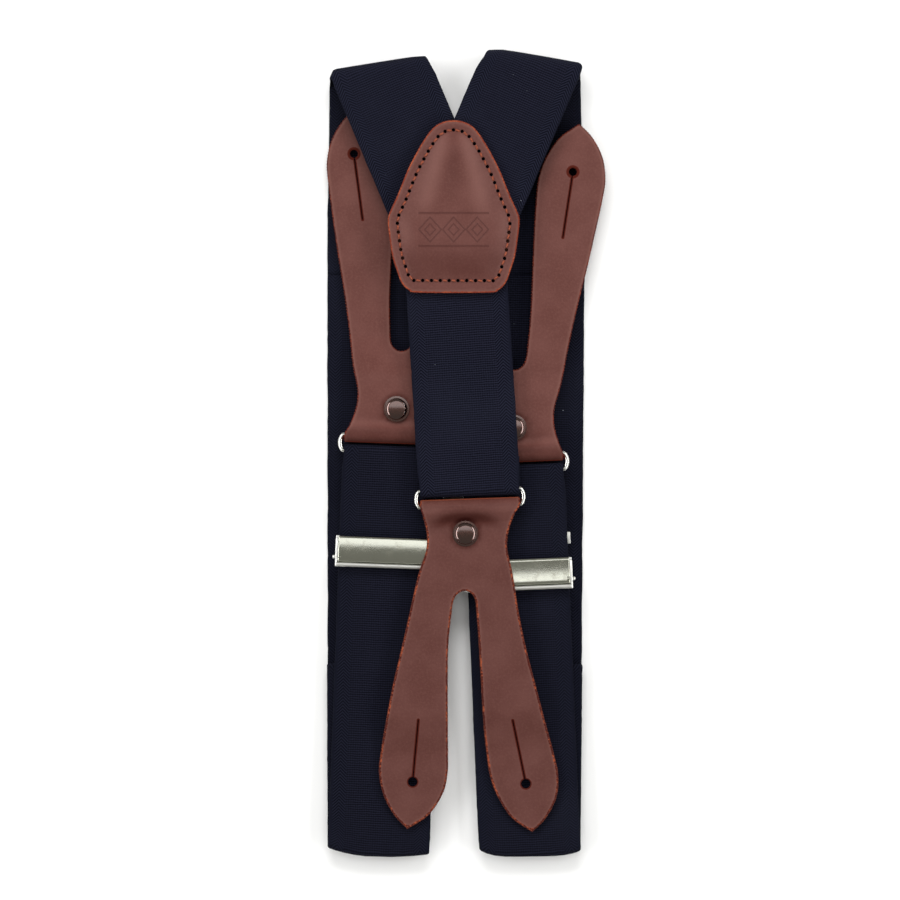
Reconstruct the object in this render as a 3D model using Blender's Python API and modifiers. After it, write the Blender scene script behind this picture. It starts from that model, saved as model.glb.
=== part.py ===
"""Button-on suspenders with a Y back, folded flat as they are stored and sold.

They lie face up with their lowest layer at z = 0. Each front strap starts at its slide adjuster,
passes through its ring, runs down the front through the adjuster, turns under at the bottom fold and
runs up behind. Its spare length lies there in a flat Z. It comes over the top fold and meets the other
strap under the leather patch. The back strap hangs from the patch down to the back ring and its
leather tab.

All sizes are in millimetres on a flat page, +X to the right and +Y up, and become metres when a mesh is
made. At the end the whole object moves so that the origin is under the middle of its footprint.

What moves: the back section folds up and over at the top folds, each ring turns in its webbing loop, each
tab swings on its ring, each adjuster slides along its strap and each lever tips open on its pin.
"""

import math

import bmesh
import bpy
from mathutils import Matrix, Vector

MM = 0.001
UP = Vector((0, 0, 1))
CLEAR = 0.3  # between neighbouring pieces
LOOP_CLEAR = 0.25  # between webbing and the bar inside its loop

# Webbing
WEB_WIDTH = 34.6
WEB_LOOP_WIDTH = 33.8  # it draws in where it wraps a bar
WEB_FOLD_WIDTH = 33.5  # and over the top folds
WEB_THICK = 1.3
LAYER = WEB_THICK + CLEAR
FRONT_LEAN = {"left": 2.13, "right": -2.36}  # degrees clockwise of each front run, seen from above
BACK_LEAN = 3.56
V_LEAN = {"left": 22.8, "right": -23.2}  # of each strap between the top fold and the patch
BOTTOM_FOLD_Y = {"left": -137.3, "right": -137.2}
TOP_FOLD_MIDDLE = {"left": Vector((-30.6, 132.9, 0)), "right": Vector((24.5, 135.3, 0))}
SPARE_Y = (-132.5, -71.0)  # the spare length lies folded between these, behind the front run
V_END_Y, BACK_STRAP_TOP_Y = 76.4, 75.7  # both under the patch

# Leather
LEATHER = 1.8
BACKING = 1.2
PATCH_MIDDLE_X, PATCH_BOTTOM_Y = -4.1, 54.2
TAB_LOOP_HALF_WIDTH = 16.9

# Wire rings: two straight bars joined by bowed ends
WIRE = 1.5
BAR_SPACING = 5.9
BAR_HALF = 17.0
RING_END_BOW = 1.3
RINGS = {
    "left_front": Vector((-24.5, 3.0, 0)),
    "right_front": Vector((16.3, -3.4, 0)),
    "back": Vector((1.4, -15.3, 0)),
}
BACK_RING_LEAN = 2.0
TAB_LEAN = {"left_front": 2.4, "right_front": 3.0, "back": 2.0}  # clockwise, from square to the ring
TAB_STRETCH = {"left_front": 1.02, "right_front": 1.015, "back": 1.003}
TAB_BOW = {"left_front": 0.0, "right_front": 0.0, "back": 2.1}  # sideways, half way along the prongs
TAB_SHEAR = {"left_front": 0.0, "right_front": 0.0, "back": -0.06}  # one prong lies further on
RIVET_SHIFT = {"left_front": 0.0, "right_front": 0.0, "back": 1.5}

# Slide adjusters, with v measured along the strap towards the ring from the middle of the lever
ADJUSTERS = {"left": -33.9, "right": -41.4}  # Y of the middle
SHEET = 0.7
EDGE = 0.05  # how far joined shapes stop short of each other's faces
FRAME_HALF = 18.4
EAR_INNER = 17.65
ARM_HALF, WINDOW_HALF = 17.2, 16.5  # of the narrower part that holds the anchor bar
STUB_END = 18.3  # the anchor bar stands out this far on one side
ANCHOR_LOOP_WIDTH = 32.4
PLATE_V = (-5.3, 5.2)
ANCHOR_V = (9.8, 13.8)
PIVOT_V = -2.0
PIN_R, PIN_HOLE_R = 0.5, 0.6
PIN_HALF = 19.2

# Rivets
RIVET_V = 12.0
CAP_R, CAP_HEIGHT = 4.35, 1.1
REAR_HEAD_R, REAR_HEAD_THICK = 4.2, 0.6
POST_R, POST_HOLE_R = 1.25, 1.55

# Heights of the layers, each the middle of its thickness
FLOOR_RUN_Z = WEB_THICK / 2
LOOP_R = SHEET / 2 + LOOP_CLEAR + WEB_THICK / 2  # of the webbing loop round the adjuster's anchor bar
RETURN_Z = FLOOR_RUN_Z + LAYER
ANCHOR_Z = RETURN_Z + LOOP_R
FRONT_RUN_Z = ANCHOR_Z + LOOP_R + WEB_THICK + LOOP_CLEAR
WEB_WRAP_R = WIRE / 2 + CLEAR + WEB_THICK / 2
LEATHER_WRAP_R = WIRE / 2 + LOOP_CLEAR + LEATHER / 2
FRONT_RING_Z = FRONT_RUN_Z - WEB_WRAP_R
STRAP_TOP = FRONT_RUN_Z + WEB_THICK / 2
BACK_RING_Z = STRAP_TOP + CLEAR + LEATHER_WRAP_R + LEATHER / 2 + 0.05
TONGUE_DROP, FACE_RISE = 1.0, 1.15  # the tab's two layers at the rivet, below and above the ring's axis
PLATE_Z = FRONT_RUN_Z - WEB_THICK / 2 - CLEAR - SHEET / 2
PIVOT_Z = STRAP_TOP + 1.8
LEVER_TOP = PIVOT_Z + 1.25
LOWER_PRONG_Z = WEB_THICK + CLEAR + LEATHER / 2
PRONG_Z = {
    "left_front": LOWER_PRONG_Z,
    "right_front": LOWER_PRONG_Z + LEATHER + CLEAR,
    "back": STRAP_TOP + CLEAR + LEATHER / 2,
}
PATCH_BACK_Z = PRONG_Z["right_front"] + LEATHER / 2 + CLEAR + BACKING / 2
V_RUN_Z = {
    "left": PATCH_BACK_Z + BACKING / 2 + CLEAR + WEB_THICK / 2,
    "right": PATCH_BACK_Z + BACKING / 2 + CLEAR + WEB_THICK / 2 + LAYER,
}
PATCH_FRONT_Z = V_RUN_Z["right"] + WEB_THICK / 2 + CLEAR + LEATHER / 2
DROOP_V = {"left_front": 21.0, "right_front": 21.0, "back": 72.0}  # where the prongs start to come down
DROOP = {"left_front": (13.0, 15.0), "right_front": (9.0, 20.0), "back": (14.0, 12.0)}  # degrees, radius
FOLD_CUT = 4.2  # degrees of the top fold left open between the fixed and the folding webbing
BACK_HINGE = Vector((0, 139.5, 4.7))

COLOURS = {
    "webbing": ((0.013, 0.015, 0.026), 0.85, 0.0),
    "leather": ((0.16, 0.06, 0.05), 0.5, 0.0),
    "nickel": ((0.70, 0.69, 0.62), 0.25, 1.0),
    "bronze": ((0.10, 0.075, 0.065), 0.3, 1.0),
    "thread": ((0.35, 0.11, 0.05), 0.7, 0.0),
}


# ---------------------------------------------------------------- scene and materials


def clear_scene():
    for old in list(bpy.data.objects):
        bpy.data.objects.remove(old)


def new_collection(name):
    collection = bpy.data.collections.new(name)
    bpy.context.scene.collection.children.link(collection)
    return collection


def new_material(name):
    colour, roughness, metallic = COLOURS[name]
    material = bpy.data.materials.new(name)
    material.use_nodes = True
    shader = material.node_tree.nodes["Principled BSDF"]
    shader.inputs["Base Color"].default_value = (*colour, 1)
    shader.inputs["Roughness"].default_value = roughness
    shader.inputs["Metallic"].default_value = metallic
    return material


def new_piece(name, bm, material, body):
    """An object from a bmesh in page millimetres, riding on a body's empty."""
    mesh = bpy.data.meshes.new(name)
    bmesh.ops.scale(bm, vec=(MM, MM, MM), verts=bm.verts)
    bm.to_mesh(mesh)
    bm.free()
    mesh.materials.append(bpy.data.materials[material])
    piece = bpy.data.objects.new(name, mesh)
    PARTS.objects.link(piece)
    piece.parent = bpy.data.objects[body]
    piece.location = -PIVOTS[body] * MM
    return piece


def new_cutter(name, bm, body):
    cutter = new_piece(name, bm, "nickel", body)
    PARTS.objects.unlink(cutter)
    CUTTERS.objects.link(cutter)
    cutter.hide_render = True
    cutter.display_type = "WIRE"
    return cutter


def combine(piece, other, operation):
    modifier = piece.modifiers.new(operation.lower(), "BOOLEAN")
    modifier.operation = operation
    modifier.object = other


def thicken(piece, thickness):
    modifier = piece.modifiers.new("thickness", "SOLIDIFY")
    modifier.thickness = thickness * MM
    modifier.offset = 0
    modifier.use_even_offset = True


def page_direction(degrees):
    """The direction this many degrees clockwise from +Y."""
    turn = math.radians(degrees)
    return Vector((math.sin(turn), math.cos(turn), 0))


def at_height(point, z):
    return Vector((point.x, point.y, z))


# ---------------------------------------------------------------- bands: webbing and folded leather


class Band:
    """A flat band laid out step by step, as rows across it with a middle, a direction and a width."""

    def __init__(self, start, heading, face, width):
        self.point = Vector(start)
        self.heading = Vector(heading).normalized()
        self.face = Vector(face)  # the side of the band that bend() counts as positive
        self.width = width
        self.length = 0.0
        self.rows = []
        self.run(0)

    @property
    def across(self):
        return self.heading.cross(self.face)

    def add_row(self, direction):
        self.rows.append((self.length, self.point.copy(), direction, self.width))

    def run(self, distance, slope=0.0):
        """Straight on. The row at its end slopes forward by slope for each millimetre across."""
        self.point += self.heading * distance
        self.length += distance
        self.add_row(self.across + self.heading * slope)

    def run_to_y(self, y, slope=0.0):
        self.run((y - self.point.y) / self.heading.y, slope)

    def bend(self, degrees, radius, skew=0.0, steps=8, first=True):
        """Curves towards its face, or away for a negative angle, about a line turned by skew radians."""
        sense, turn = math.copysign(1, degrees), math.radians(abs(degrees))
        face = self.face.copy()
        fold_line = self.heading * math.sin(skew) + self.across * math.cos(skew)
        onward = self.heading * math.cos(skew) - self.across * math.sin(skew)
        start, begun = self.point.copy(), self.length
        if first and self.rows and self.rows[-1][0] == begun:
            self.rows.pop()  # the bend's own first row takes its place
        for step in range(0 if first else 1, steps + 1):
            angle = turn * step / steps
            self.point = start + fold_line * (angle * radius * math.tan(skew))
            self.point += onward * radius * math.sin(angle)
            self.point += face * sense * radius * (1 - math.cos(angle))
            self.length = begun + angle * radius / math.cos(skew)
            self.add_row(fold_line / math.cos(skew))
        self.face = face * math.cos(turn) - onward * sense * math.sin(turn)
        turned = onward * math.cos(turn) + face * sense * math.sin(turn)
        self.heading = turned * math.cos(skew) + fold_line * math.sin(skew)

    def skew_square_to(self, direction):
        """The skew of a bend about a line square to direction."""
        return -math.asin(direction.dot(self.across))

    def skew_towards(self, new_heading):
        """The skew of a flat fold that sends the band off along new_heading."""
        return self.skew_square_to((self.heading - new_heading).normalized())

    def change_level(self, z, slope_degrees=20.0, radius=2.5, steps=3):
        """A gentle double bend to height z."""
        rise = z - self.point.z
        turn = math.radians(slope_degrees)
        sense = math.copysign(slope_degrees, rise * self.face.z)
        straight = (abs(rise) - 2 * radius * (1 - math.cos(turn))) / math.sin(turn)
        self.bend(sense, radius, steps=steps)
        self.run(straight)
        self.bend(-sense, radius, steps=steps)

    def cut(self):
        """Takes the rows so far, and goes on with none."""
        rows, self.rows = self.rows, []
        return rows

    def at(self, along, offset):
        """The point this far along the band and this far across it, between two of its rows."""
        for before, after in zip(self.rows, self.rows[1:]):
            if along <= after[0]:
                break
        share = (along - before[0]) / max(after[0] - before[0], 1e-9)
        return before[1].lerp(after[1], share) + before[2].lerp(after[2], share) * offset


def strip(rows):
    """A bmesh of the four-sided faces between a band's rows."""
    bm = bmesh.new()
    sides = [
        [bm.verts.new(middle + direction * width * half) for half in (-0.5, 0.5)]
        for _, middle, direction, width in rows
    ]
    for (a, b), (c, d) in zip(sides, sides[1:]):
        if (a.co - c.co).length + (b.co - d.co).length > 1e-4:
            bm.faces.new((a, b, d, c))
    bmesh.ops.remove_doubles(bm, verts=bm.verts, dist=1e-3)
    return bm


def web_solid(name, rows, body):
    thicken(new_piece(name, strip(rows), "webbing", body), WEB_THICK)


def rounded(points, corners=(), steps=4):
    """A closed outline through points, round everywhere but at the listed corners (Catmull-Rom)."""
    outline, count = [], len(points)
    points = [Vector(p) for p in points]
    for i in range(count):
        before, start, end, after = (points[(i + k) % count] for k in (-1, 0, 1, 2))
        before = start if i in corners else before
        after = end if (i + 1) % count in corners else after
        for step in range(steps):
            t = step / steps
            outline.append(
                0.5
                * (
                    2 * start
                    + (end - before) * t
                    + (2 * before - 5 * start + 4 * end - after) * t**2
                    + (3 * start - before - 3 * end + after) * t**3
                )
            )
    return outline


def circle(centre, radius, sides=14):
    turn = math.tau / sides
    return [
        Vector(centre) + Vector((radius * math.cos(turn * k), radius * math.sin(turn * k)))
        for k in range(sides)
    ]


def outline_curve(name, outlines, thickness=0.0):
    """A filled 2D curve object: the first outline is the edge and the others are holes in it."""
    curve = bpy.data.curves.new(name, "CURVE")
    curve.dimensions = "2D"
    curve.fill_mode = "BOTH"
    curve.extrude = thickness / 2
    for outline in outlines:
        spline = curve.splines.new("POLY")
        spline.points.add(len(outline) - 1)
        for point, (x, y) in zip(spline.points, outline):
            point.co = (x, y, 0, 1)
        spline.use_cyclic_u = True
    return bpy.data.objects.new(name, curve)


def outline_mesh(outlines, thickness=0.0):
    """The welded bmesh of a filled outline."""
    guide = outline_curve("guide", outlines, thickness)
    PARTS.objects.link(guide)
    graph = bpy.context.evaluated_depsgraph_get()
    mesh = bpy.data.meshes.new_from_object(guide.evaluated_get(graph))
    bm = bmesh.new()
    bm.from_mesh(mesh)
    bmesh.ops.remove_doubles(bm, verts=bm.verts, dist=1e-4)
    bmesh.ops.recalc_face_normals(bm, faces=bm.faces)
    bpy.data.objects.remove(guide)
    return bm


# ---------------------------------------------------------------- front and back straps


def slope_for_level_row(band):
    """The slope of a row that runs along X."""
    return -band.across.y / band.heading.y


def ring_frame(name):
    """A ring's middle, its height, and the direction from its strap bar to its leather bar."""
    side = name.split("_")[0]
    if side == "back":
        return at_height(RINGS[name], BACK_RING_Z), page_direction(180 - BACK_RING_LEAN)
    return at_height(RINGS[name], FRONT_RING_Z), page_direction(FRONT_LEAN[side])


def strap_bar(name):
    middle, onward = ring_frame(name)
    return middle - onward * BAR_SPACING / 2


def leather_bar(name):
    middle, onward = ring_frame(name)
    return middle + onward * BAR_SPACING / 2


def adjuster_middle(side):
    """The point of the strap's middle line under the middle of the lever."""
    middle, onward = ring_frame(side + "_front")
    return at_height(middle + onward * (ADJUSTERS[side] - middle.y) / onward.y, 0)


def front_strap(side):
    """One front strap from the ring down to the bottom fold, up behind to the top fold, and over it."""
    ring = side + "_front"
    onward = page_direction(FRONT_LEAN[side])
    bar = strap_bar(ring)
    web = Band(bar - onward * 2.0 - UP * WEB_WRAP_R, onward, -UP, WEB_LOOP_WIDTH)
    web.run(2.0)
    web.bend(-180, WEB_WRAP_R, steps=10)
    web.run(2.0)
    web.width = WEB_WIDTH
    web.run(5.0)
    fold_r = (FRONT_RUN_Z - FLOOR_RUN_Z) / 2 - LAYER
    fold_start_y = BOTTOM_FOLD_Y[side] + fold_r + WEB_THICK / 2
    web.run_to_y(fold_start_y + 2 * CLEAR)
    web_solid(side + "_strap_front", web.cut(), "root")

    web.run_to_y(fold_start_y + CLEAR)
    web.run_to_y(fold_start_y)

    top_r = (V_RUN_Z[side] - FLOOR_RUN_Z) / 2
    v_heading = -page_direction(-V_LEAN[side])
    rise = TOP_FOLD_MIDDLE[side] - at_height(web.point, 0)
    web.bend(-180, fold_r, skew=web.skew_towards(rise.normalized()), steps=10)

    top_square = (web.heading - v_heading).normalized()
    top_start = TOP_FOLD_MIDDLE[side] - top_square * (top_r + WEB_THICK / 2)
    web.run_to_y(SPARE_Y[1])
    web.bend(180, LAYER / 2, steps=6)
    web.run_to_y(SPARE_Y[0])
    web.bend(-180, LAYER / 2, steps=6)
    top_skew = web.skew_towards(v_heading)
    web.width = WEB_FOLD_WIDTH
    web.run_to_y(top_start.y)
    half_fold = 90 - FOLD_CUT / 2
    web.bend(-half_fold, top_r, skew=top_skew, steps=6)
    web_solid(side + "_strap_rear", web.cut(), "root")

    web.bend(-FOLD_CUT, top_r, skew=top_skew, steps=1, first=False)
    web.bend(-half_fold, top_r, skew=top_skew, steps=6, first=False)
    web.run_to_y(V_END_Y, slope_for_level_row(web))
    web_solid(side + "_strap_upper", web.cut(), "back_section")


def return_strap(side):
    """The webbing from the back of the ring down to the loop round the adjuster's anchor bar."""
    onward = page_direction(FRONT_LEAN[side])
    start = strap_bar(side + "_front") - onward * (2.0 + CLEAR) - UP * WEB_WRAP_R
    anchor = adjuster_middle(side) + onward * (ANCHOR_V[0] + SHEET / 2)
    web = Band(start, -onward, UP, WEB_LOOP_WIDTH)
    web.run(2.0)
    web.change_level(RETURN_Z, slope_degrees=8.0)
    web.width = ANCHOR_LOOP_WIDTH
    web.run_to_y(anchor.y)
    web.bend(180, LOOP_R, steps=8)
    web.run(9.0)
    web_solid(side + "_strap_return", web.cut(), "root")


def back_strap():
    heading = page_direction(180 - BACK_LEAN)
    bar = strap_bar("back")
    length = (BACK_STRAP_TOP_Y - bar.y) / -heading.y
    start = at_height(bar - heading * length, V_RUN_Z["right"])
    web = Band(start, heading, UP, WEB_WIDTH)
    web.cut()
    web.run(0, slope_for_level_row(web))
    web.run_to_y(24)
    web.change_level(BACK_RING_Z + WEB_WRAP_R, slope_degrees=6.0)
    web.run_to_y(bar.y + 7)
    web.width = WEB_LOOP_WIDTH
    web.run_to_y(bar.y + 2.5)
    web.run_to_y(bar.y)
    web.bend(-180, WEB_WRAP_R, skew=web.skew_square_to(ring_frame("back")[1]), steps=10)
    web.run(2.5)
    web.change_level(V_RUN_Z["right"] - WEB_THICK / 2, slope_degrees=14.0)
    web.run(6.0)
    web_solid("back_strap", web.cut(), "back_section")


# ---------------------------------------------------------------- patch

PATCH_HALF = (
    (0, 58.4), (3.4, 57.9), (6.4, 56.3), (9.0, 53.3), (12.0, 48.5), (15.6, 41.5), (19.0, 33.1),
    (21.9, 26.6), (22.3, 23.7), (21.8, 19.0), (20.8, 12.4), (19.3, 7.6), (17.7, 3.4), (15.2, 0.9),
    (11.5, 0.0),
)  # fmt: skip
STITCH_INSET = 3.2
STITCH_R = 0.35


def patch_outline():
    right = [Vector(p) for p in PATCH_HALF]
    left = [Vector((-x, y)) for x, y in reversed(PATCH_HALF[1:])]
    place = Vector((PATCH_MIDDLE_X, PATCH_BOTTOM_Y))
    return [point + place for point in rounded(right + left, steps=3)]


def inset(outline, distance):
    """A closed clockwise outline moved inwards."""
    moved = []
    for before, here, after in zip(outline[-1:] + outline[:-1], outline, outline[1:] + outline[:1]):
        along = (after - before).normalized()
        moved.append(here + Vector((along.y, -along.x)) * distance)
    return moved


def patches():
    for name, z, thickness in (
        ("patch_front", PATCH_FRONT_Z, LEATHER),
        ("patch_back", PATCH_BACK_Z, BACKING),
    ):
        bm = outline_mesh([patch_outline()], thickness)
        bmesh.ops.translate(bm, vec=UP * z, verts=bm.verts)
        new_piece(name, bm, "leather", "back_section")


def tube(name, points, radius, material, body, closed):
    """A wire along points in page millimetres."""
    curve = bpy.data.curves.new(name, "CURVE")
    curve.dimensions = "3D"
    curve.bevel_depth = radius * MM
    curve.bevel_resolution = 2
    curve.use_fill_caps = True
    spline = curve.splines.new("POLY")
    spline.points.add(len(points) - 1)
    for point, place in zip(spline.points, points):
        point.co = (*(place * MM), 1)
    spline.use_cyclic_u = closed
    curve.materials.append(bpy.data.materials[material])
    wire = bpy.data.objects.new(name, curve)
    PARTS.objects.link(wire)
    wire.parent = bpy.data.objects[body]
    wire.location = -PIVOTS[body] * MM


def patch_thread():
    z = PATCH_FRONT_Z + LEATHER / 2 + STITCH_R + 0.05
    line = [point.to_3d() + UP * z for point in inset(patch_outline(), STITCH_INSET)]
    tube("patch_thread", line[::2], STITCH_R, "thread", "back_section", closed=True)


# ---------------------------------------------------------------- rings


def ring(name, body):
    """A wire loop: two straight bars and two bowed ends."""
    middle, onward = ring_frame(name)
    across = onward.cross(UP)
    half = BAR_SPACING / 2
    bow_r = half**2 / (2 * RING_END_BOW) + RING_END_BOW / 2
    spread = math.asin(half / bow_r)
    steps = 6
    points = []
    for side in (1, -1):
        for k in range(steps + 1):
            angle = spread * (2 * k / steps - 1)
            reach = BAR_HALF + bow_r * (math.cos(angle) - math.cos(spread))
            points.append(middle + (across * reach + onward * bow_r * math.sin(angle)) * side)
    tube(name if name == "back_ring" else name + "_ring", points, WIRE / 2, "nickel", body, closed=True)


# ---------------------------------------------------------------- leather tabs and their rivets

# Half of the tab laid flat. u is across from its middle line, and v along it from the ring's middle.
TAB_OUTER = (
    (15.4, 6.0), (14.1, 10.2), (13.5, 14.3), (13.9, 18.7), (16.0, 26.2), (18.6, 39.8), (21.3, 52.0),
    (24.1, 63.3), (26.8, 75.2), (29.4, 87.4), (30.3, 94.2), (29.2, 101.5), (25.7, 108.2),
)  # fmt: skip
TAB_TIP = (21.2, 112.9)
TAB_INNER = (
    (14.2, 108.2), (9.4, 101.0), (7.3, 94.2), (6.6, 86.0), (6.1, 75.2), (5.4, 52.0), (4.5, 40.5),
    (3.4, 33.6),
)  # fmt: skip
TAB_CROTCH = (0.0, 31.3)
TONGUE_HALF = ((13.6, 4.6), (8.4, 8.0), (6.6, 13.0), (5.6, 17.0))
TONGUE_END = (0.0, 18.6)
TONGUE_LENGTH, TONGUE_STEP = 19.4, 3.4  # from the leather bar, and where it steps down to lie flat
BUTTONHOLES = {  # the hole and the end of its slit
    "left_front": ((21.3, 96.9), (16.6, 75.0)),
    "right_front": ((19.2, 96.9), (16.0, 75.0)),
    "back": ((19.2, 96.9), (16.0, 75.0)),
}
BUTTON_V = 100.0  # the prongs bow sideways between the ring and here
BUTTON_HOLE_R, SLIT_HALF = 1.6, 0.4


def tab_lay(name, u, v):
    """Where a point of the flat tab lies beyond its ring, as (across, onward) from the ring's middle."""
    bow = TAB_BOW[name] * math.sin(math.pi * min(v / BUTTON_V, 1))
    shear = TAB_SHEAR[name] * u * v / TAB_TIP[1]
    lean = math.tan(math.radians(TAB_LEAN[name]))
    return Vector((u + v * lean + bow, v * TAB_STRETCH[name] + shear))


def keyhole(centre, slit_end):
    """A round hole with a slit, as one outline."""
    towards = (slit_end - centre).normalized()
    across = Vector((-towards.y, towards.x))
    first = math.asin(SLIT_HALF / BUTTON_HOLE_R)
    sides = 14
    outline = []
    for k in range(sides + 1):
        angle = first + (math.tau - 2 * first) * k / sides
        outline.append(
            centre + (towards * math.cos(angle) + across * math.sin(angle)) * BUTTON_HOLE_R
        )
    return outline + [slit_end - across * SLIT_HALF, slit_end + across * SLIT_HALF]


def tab_band(ring_name):
    """The tab's fold: in from the tongue's end, round the leather bar and out to the prongs."""
    middle, onward = ring_frame(ring_name)
    bar = leather_bar(ring_name)
    leather = Band(bar + onward * TONGUE_LENGTH - UP * TONGUE_DROP, -onward, -UP, 1.0)
    leather.run(TONGUE_LENGTH - TONGUE_STEP)
    leather.change_level(middle.z - LEATHER_WRAP_R)
    leather.point = bar - UP * LEATHER_WRAP_R
    leather.bend(-180, LEATHER_WRAP_R, steps=10)
    top = leather.length
    leather.change_level(middle.z + FACE_RISE)
    leather.run(DROOP_V[ring_name] - BAR_SPACING / 2 - (leather.length - top))
    leather.change_level(PRONG_Z[ring_name], *DROOP[ring_name])
    leather.run(130)
    return leather, top


def tab(name, body):
    leather, top = tab_band(name)
    wrap = math.pi * LEATHER_WRAP_R
    lean = math.tan(math.radians(TAB_LEAN[name]))
    half_bars = BAR_SPACING / 2

    def face(u, v):
        return tab_lay(name, u, v) + Vector((0, top - half_bars))

    def back(u, v):
        return Vector((u, top - wrap - v + half_bars))

    def both_sides(points, place):
        return [place(u, v) for u, v in points], [place(-u, v) for u, v in reversed(points)]

    right_outer, left_outer = both_sides(TAB_OUTER, face)
    right_inner, left_inner = both_sides(TAB_INNER, face)
    right_tongue, left_tongue = both_sides(TONGUE_HALF, back)
    loop = [
        Vector((TAB_LOOP_HALF_WIDTH, top - wrap)), Vector((TAB_LOOP_HALF_WIDTH, top - wrap / 2)),
        Vector((TAB_LOOP_HALF_WIDTH, top)),
    ]  # fmt: skip
    points = loop + right_outer + [face(*TAB_TIP)] + right_inner + [face(*TAB_CROTCH)]
    first_tip = len(loop) + len(right_outer)
    points += left_inner + [face(-TAB_TIP[0], TAB_TIP[1])] + left_outer
    second_tip = len(points) - len(left_outer) - 1
    points += [Vector((-p.x, p.y)) for p in reversed(loop)]
    first_heel = len(points) - 1
    points += left_tongue[::-1] + [back(*TONGUE_END)] + right_tongue[::-1]
    edge = rounded(points, (0, first_tip, second_tip, first_heel), steps=3)

    rivet_u = RIVET_V * lean + RIVET_SHIFT[name]
    holes = [
        circle((rivet_u, top + RIVET_V - half_bars), POST_HOLE_R),
        circle((rivet_u, top - wrap - RIVET_V + half_bars), POST_HOLE_R),
    ]
    for side in (1, -1):
        ends = [face(side * u, v) for u, v in BUTTONHOLES[name]]
        holes.append(keyhole(*ends))

    bm = outline_mesh([edge] + holes)
    for along in sorted({row[0] for row in leather.rows}):
        bmesh.ops.bisect_plane(
            bm,
            geom=bm.verts[:] + bm.edges[:] + bm.faces[:],
            dist=1e-4,
            plane_co=(0, along, 0),
            plane_no=(0, 1, 0),
        )
    for vertex in bm.verts:
        vertex.co = leather.at(vertex.co.y, vertex.co.x)
    bmesh.ops.recalc_face_normals(bm, faces=bm.faces)
    thicken(new_piece(name + "_tab", bm, "leather", body), LEATHER)


def turned(name, profile, place, material, body):
    """A round piece from its profile, listed from the top of its axis down its outer side."""
    bm = bmesh.new()
    corners = [bm.verts.new((radius, 0, height)) for radius, height in profile]
    for a, b in zip(corners, corners[1:]):
        bm.edges.new((a, b))
    piece = new_piece(name, bm, material, body)
    piece.location = (place - PIVOTS[body]) * MM
    screw = piece.modifiers.new("turn", "SCREW")
    screw.steps = screw.render_steps = 20
    screw.use_merge_vertices = True
    screw.merge_threshold = 0.00001


def rivet(name, body):
    middle, onward = ring_frame(name)
    across = onward.cross(UP)
    lean = math.tan(math.radians(TAB_LEAN[name]))
    place = middle + onward * RIVET_V + across * (RIVET_V * lean + RIVET_SHIFT[name])
    top = place + UP * (FACE_RISE + LEATHER / 2 + CLEAR)
    dome = [
        (CAP_R * math.sin(math.pi / 2 * k / 5), CAP_HEIGHT * (0.3 + 0.7 * math.cos(math.pi / 2 * k / 5)))
        for k in range(6)
    ]
    turned(name + "_rivet_cap", dome + [(CAP_R, 0), (0, 0)], top, "bronze", body)
    foot = -(TONGUE_DROP + LEATHER / 2 + REAR_HEAD_THICK + CLEAR)
    height = FACE_RISE + LEATHER / 2 - foot
    profile = [
        (0, height), (POST_R, height), (POST_R, REAR_HEAD_THICK), (REAR_HEAD_R - 0.3, REAR_HEAD_THICK),
        (REAR_HEAD_R, REAR_HEAD_THICK - 0.2), (REAR_HEAD_R, 0), (0, 0),
    ]  # fmt: skip
    turned(name + "_rivet_post", profile, place + UP * foot, "bronze", body)


# ---------------------------------------------------------------- slide adjusters


def box(low, high):
    bm = bmesh.new()
    low, high = Vector(low), Vector(high)
    place = Matrix.Translation((low + high) / 2) @ Matrix.Diagonal((*(high - low), 1))
    bmesh.ops.create_cube(bm, size=1, matrix=place)
    return bm


def rod(radius, half_length, place, sides=16):
    """A cylinder along local X."""
    bm = bmesh.new()
    turn = Matrix.Translation(place) @ Matrix.Rotation(math.pi / 2, 4, "Y")
    bmesh.ops.create_cone(
        bm,
        cap_ends=True,
        segments=sides,
        radius1=radius,
        radius2=radius,
        depth=2 * half_length,
        matrix=turn,
    )
    return bm


def set_on_strap(bm, side):
    """Turns and moves a bmesh made round the adjuster's middle, v along +Y, to its strap."""
    lean = Matrix.Rotation(-math.radians(FRONT_LEAN[side]), 4, "Z")
    bmesh.ops.transform(bm, matrix=Matrix.Translation(adjuster_middle(side)) @ lean, verts=bm.verts)
    return bm


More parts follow.
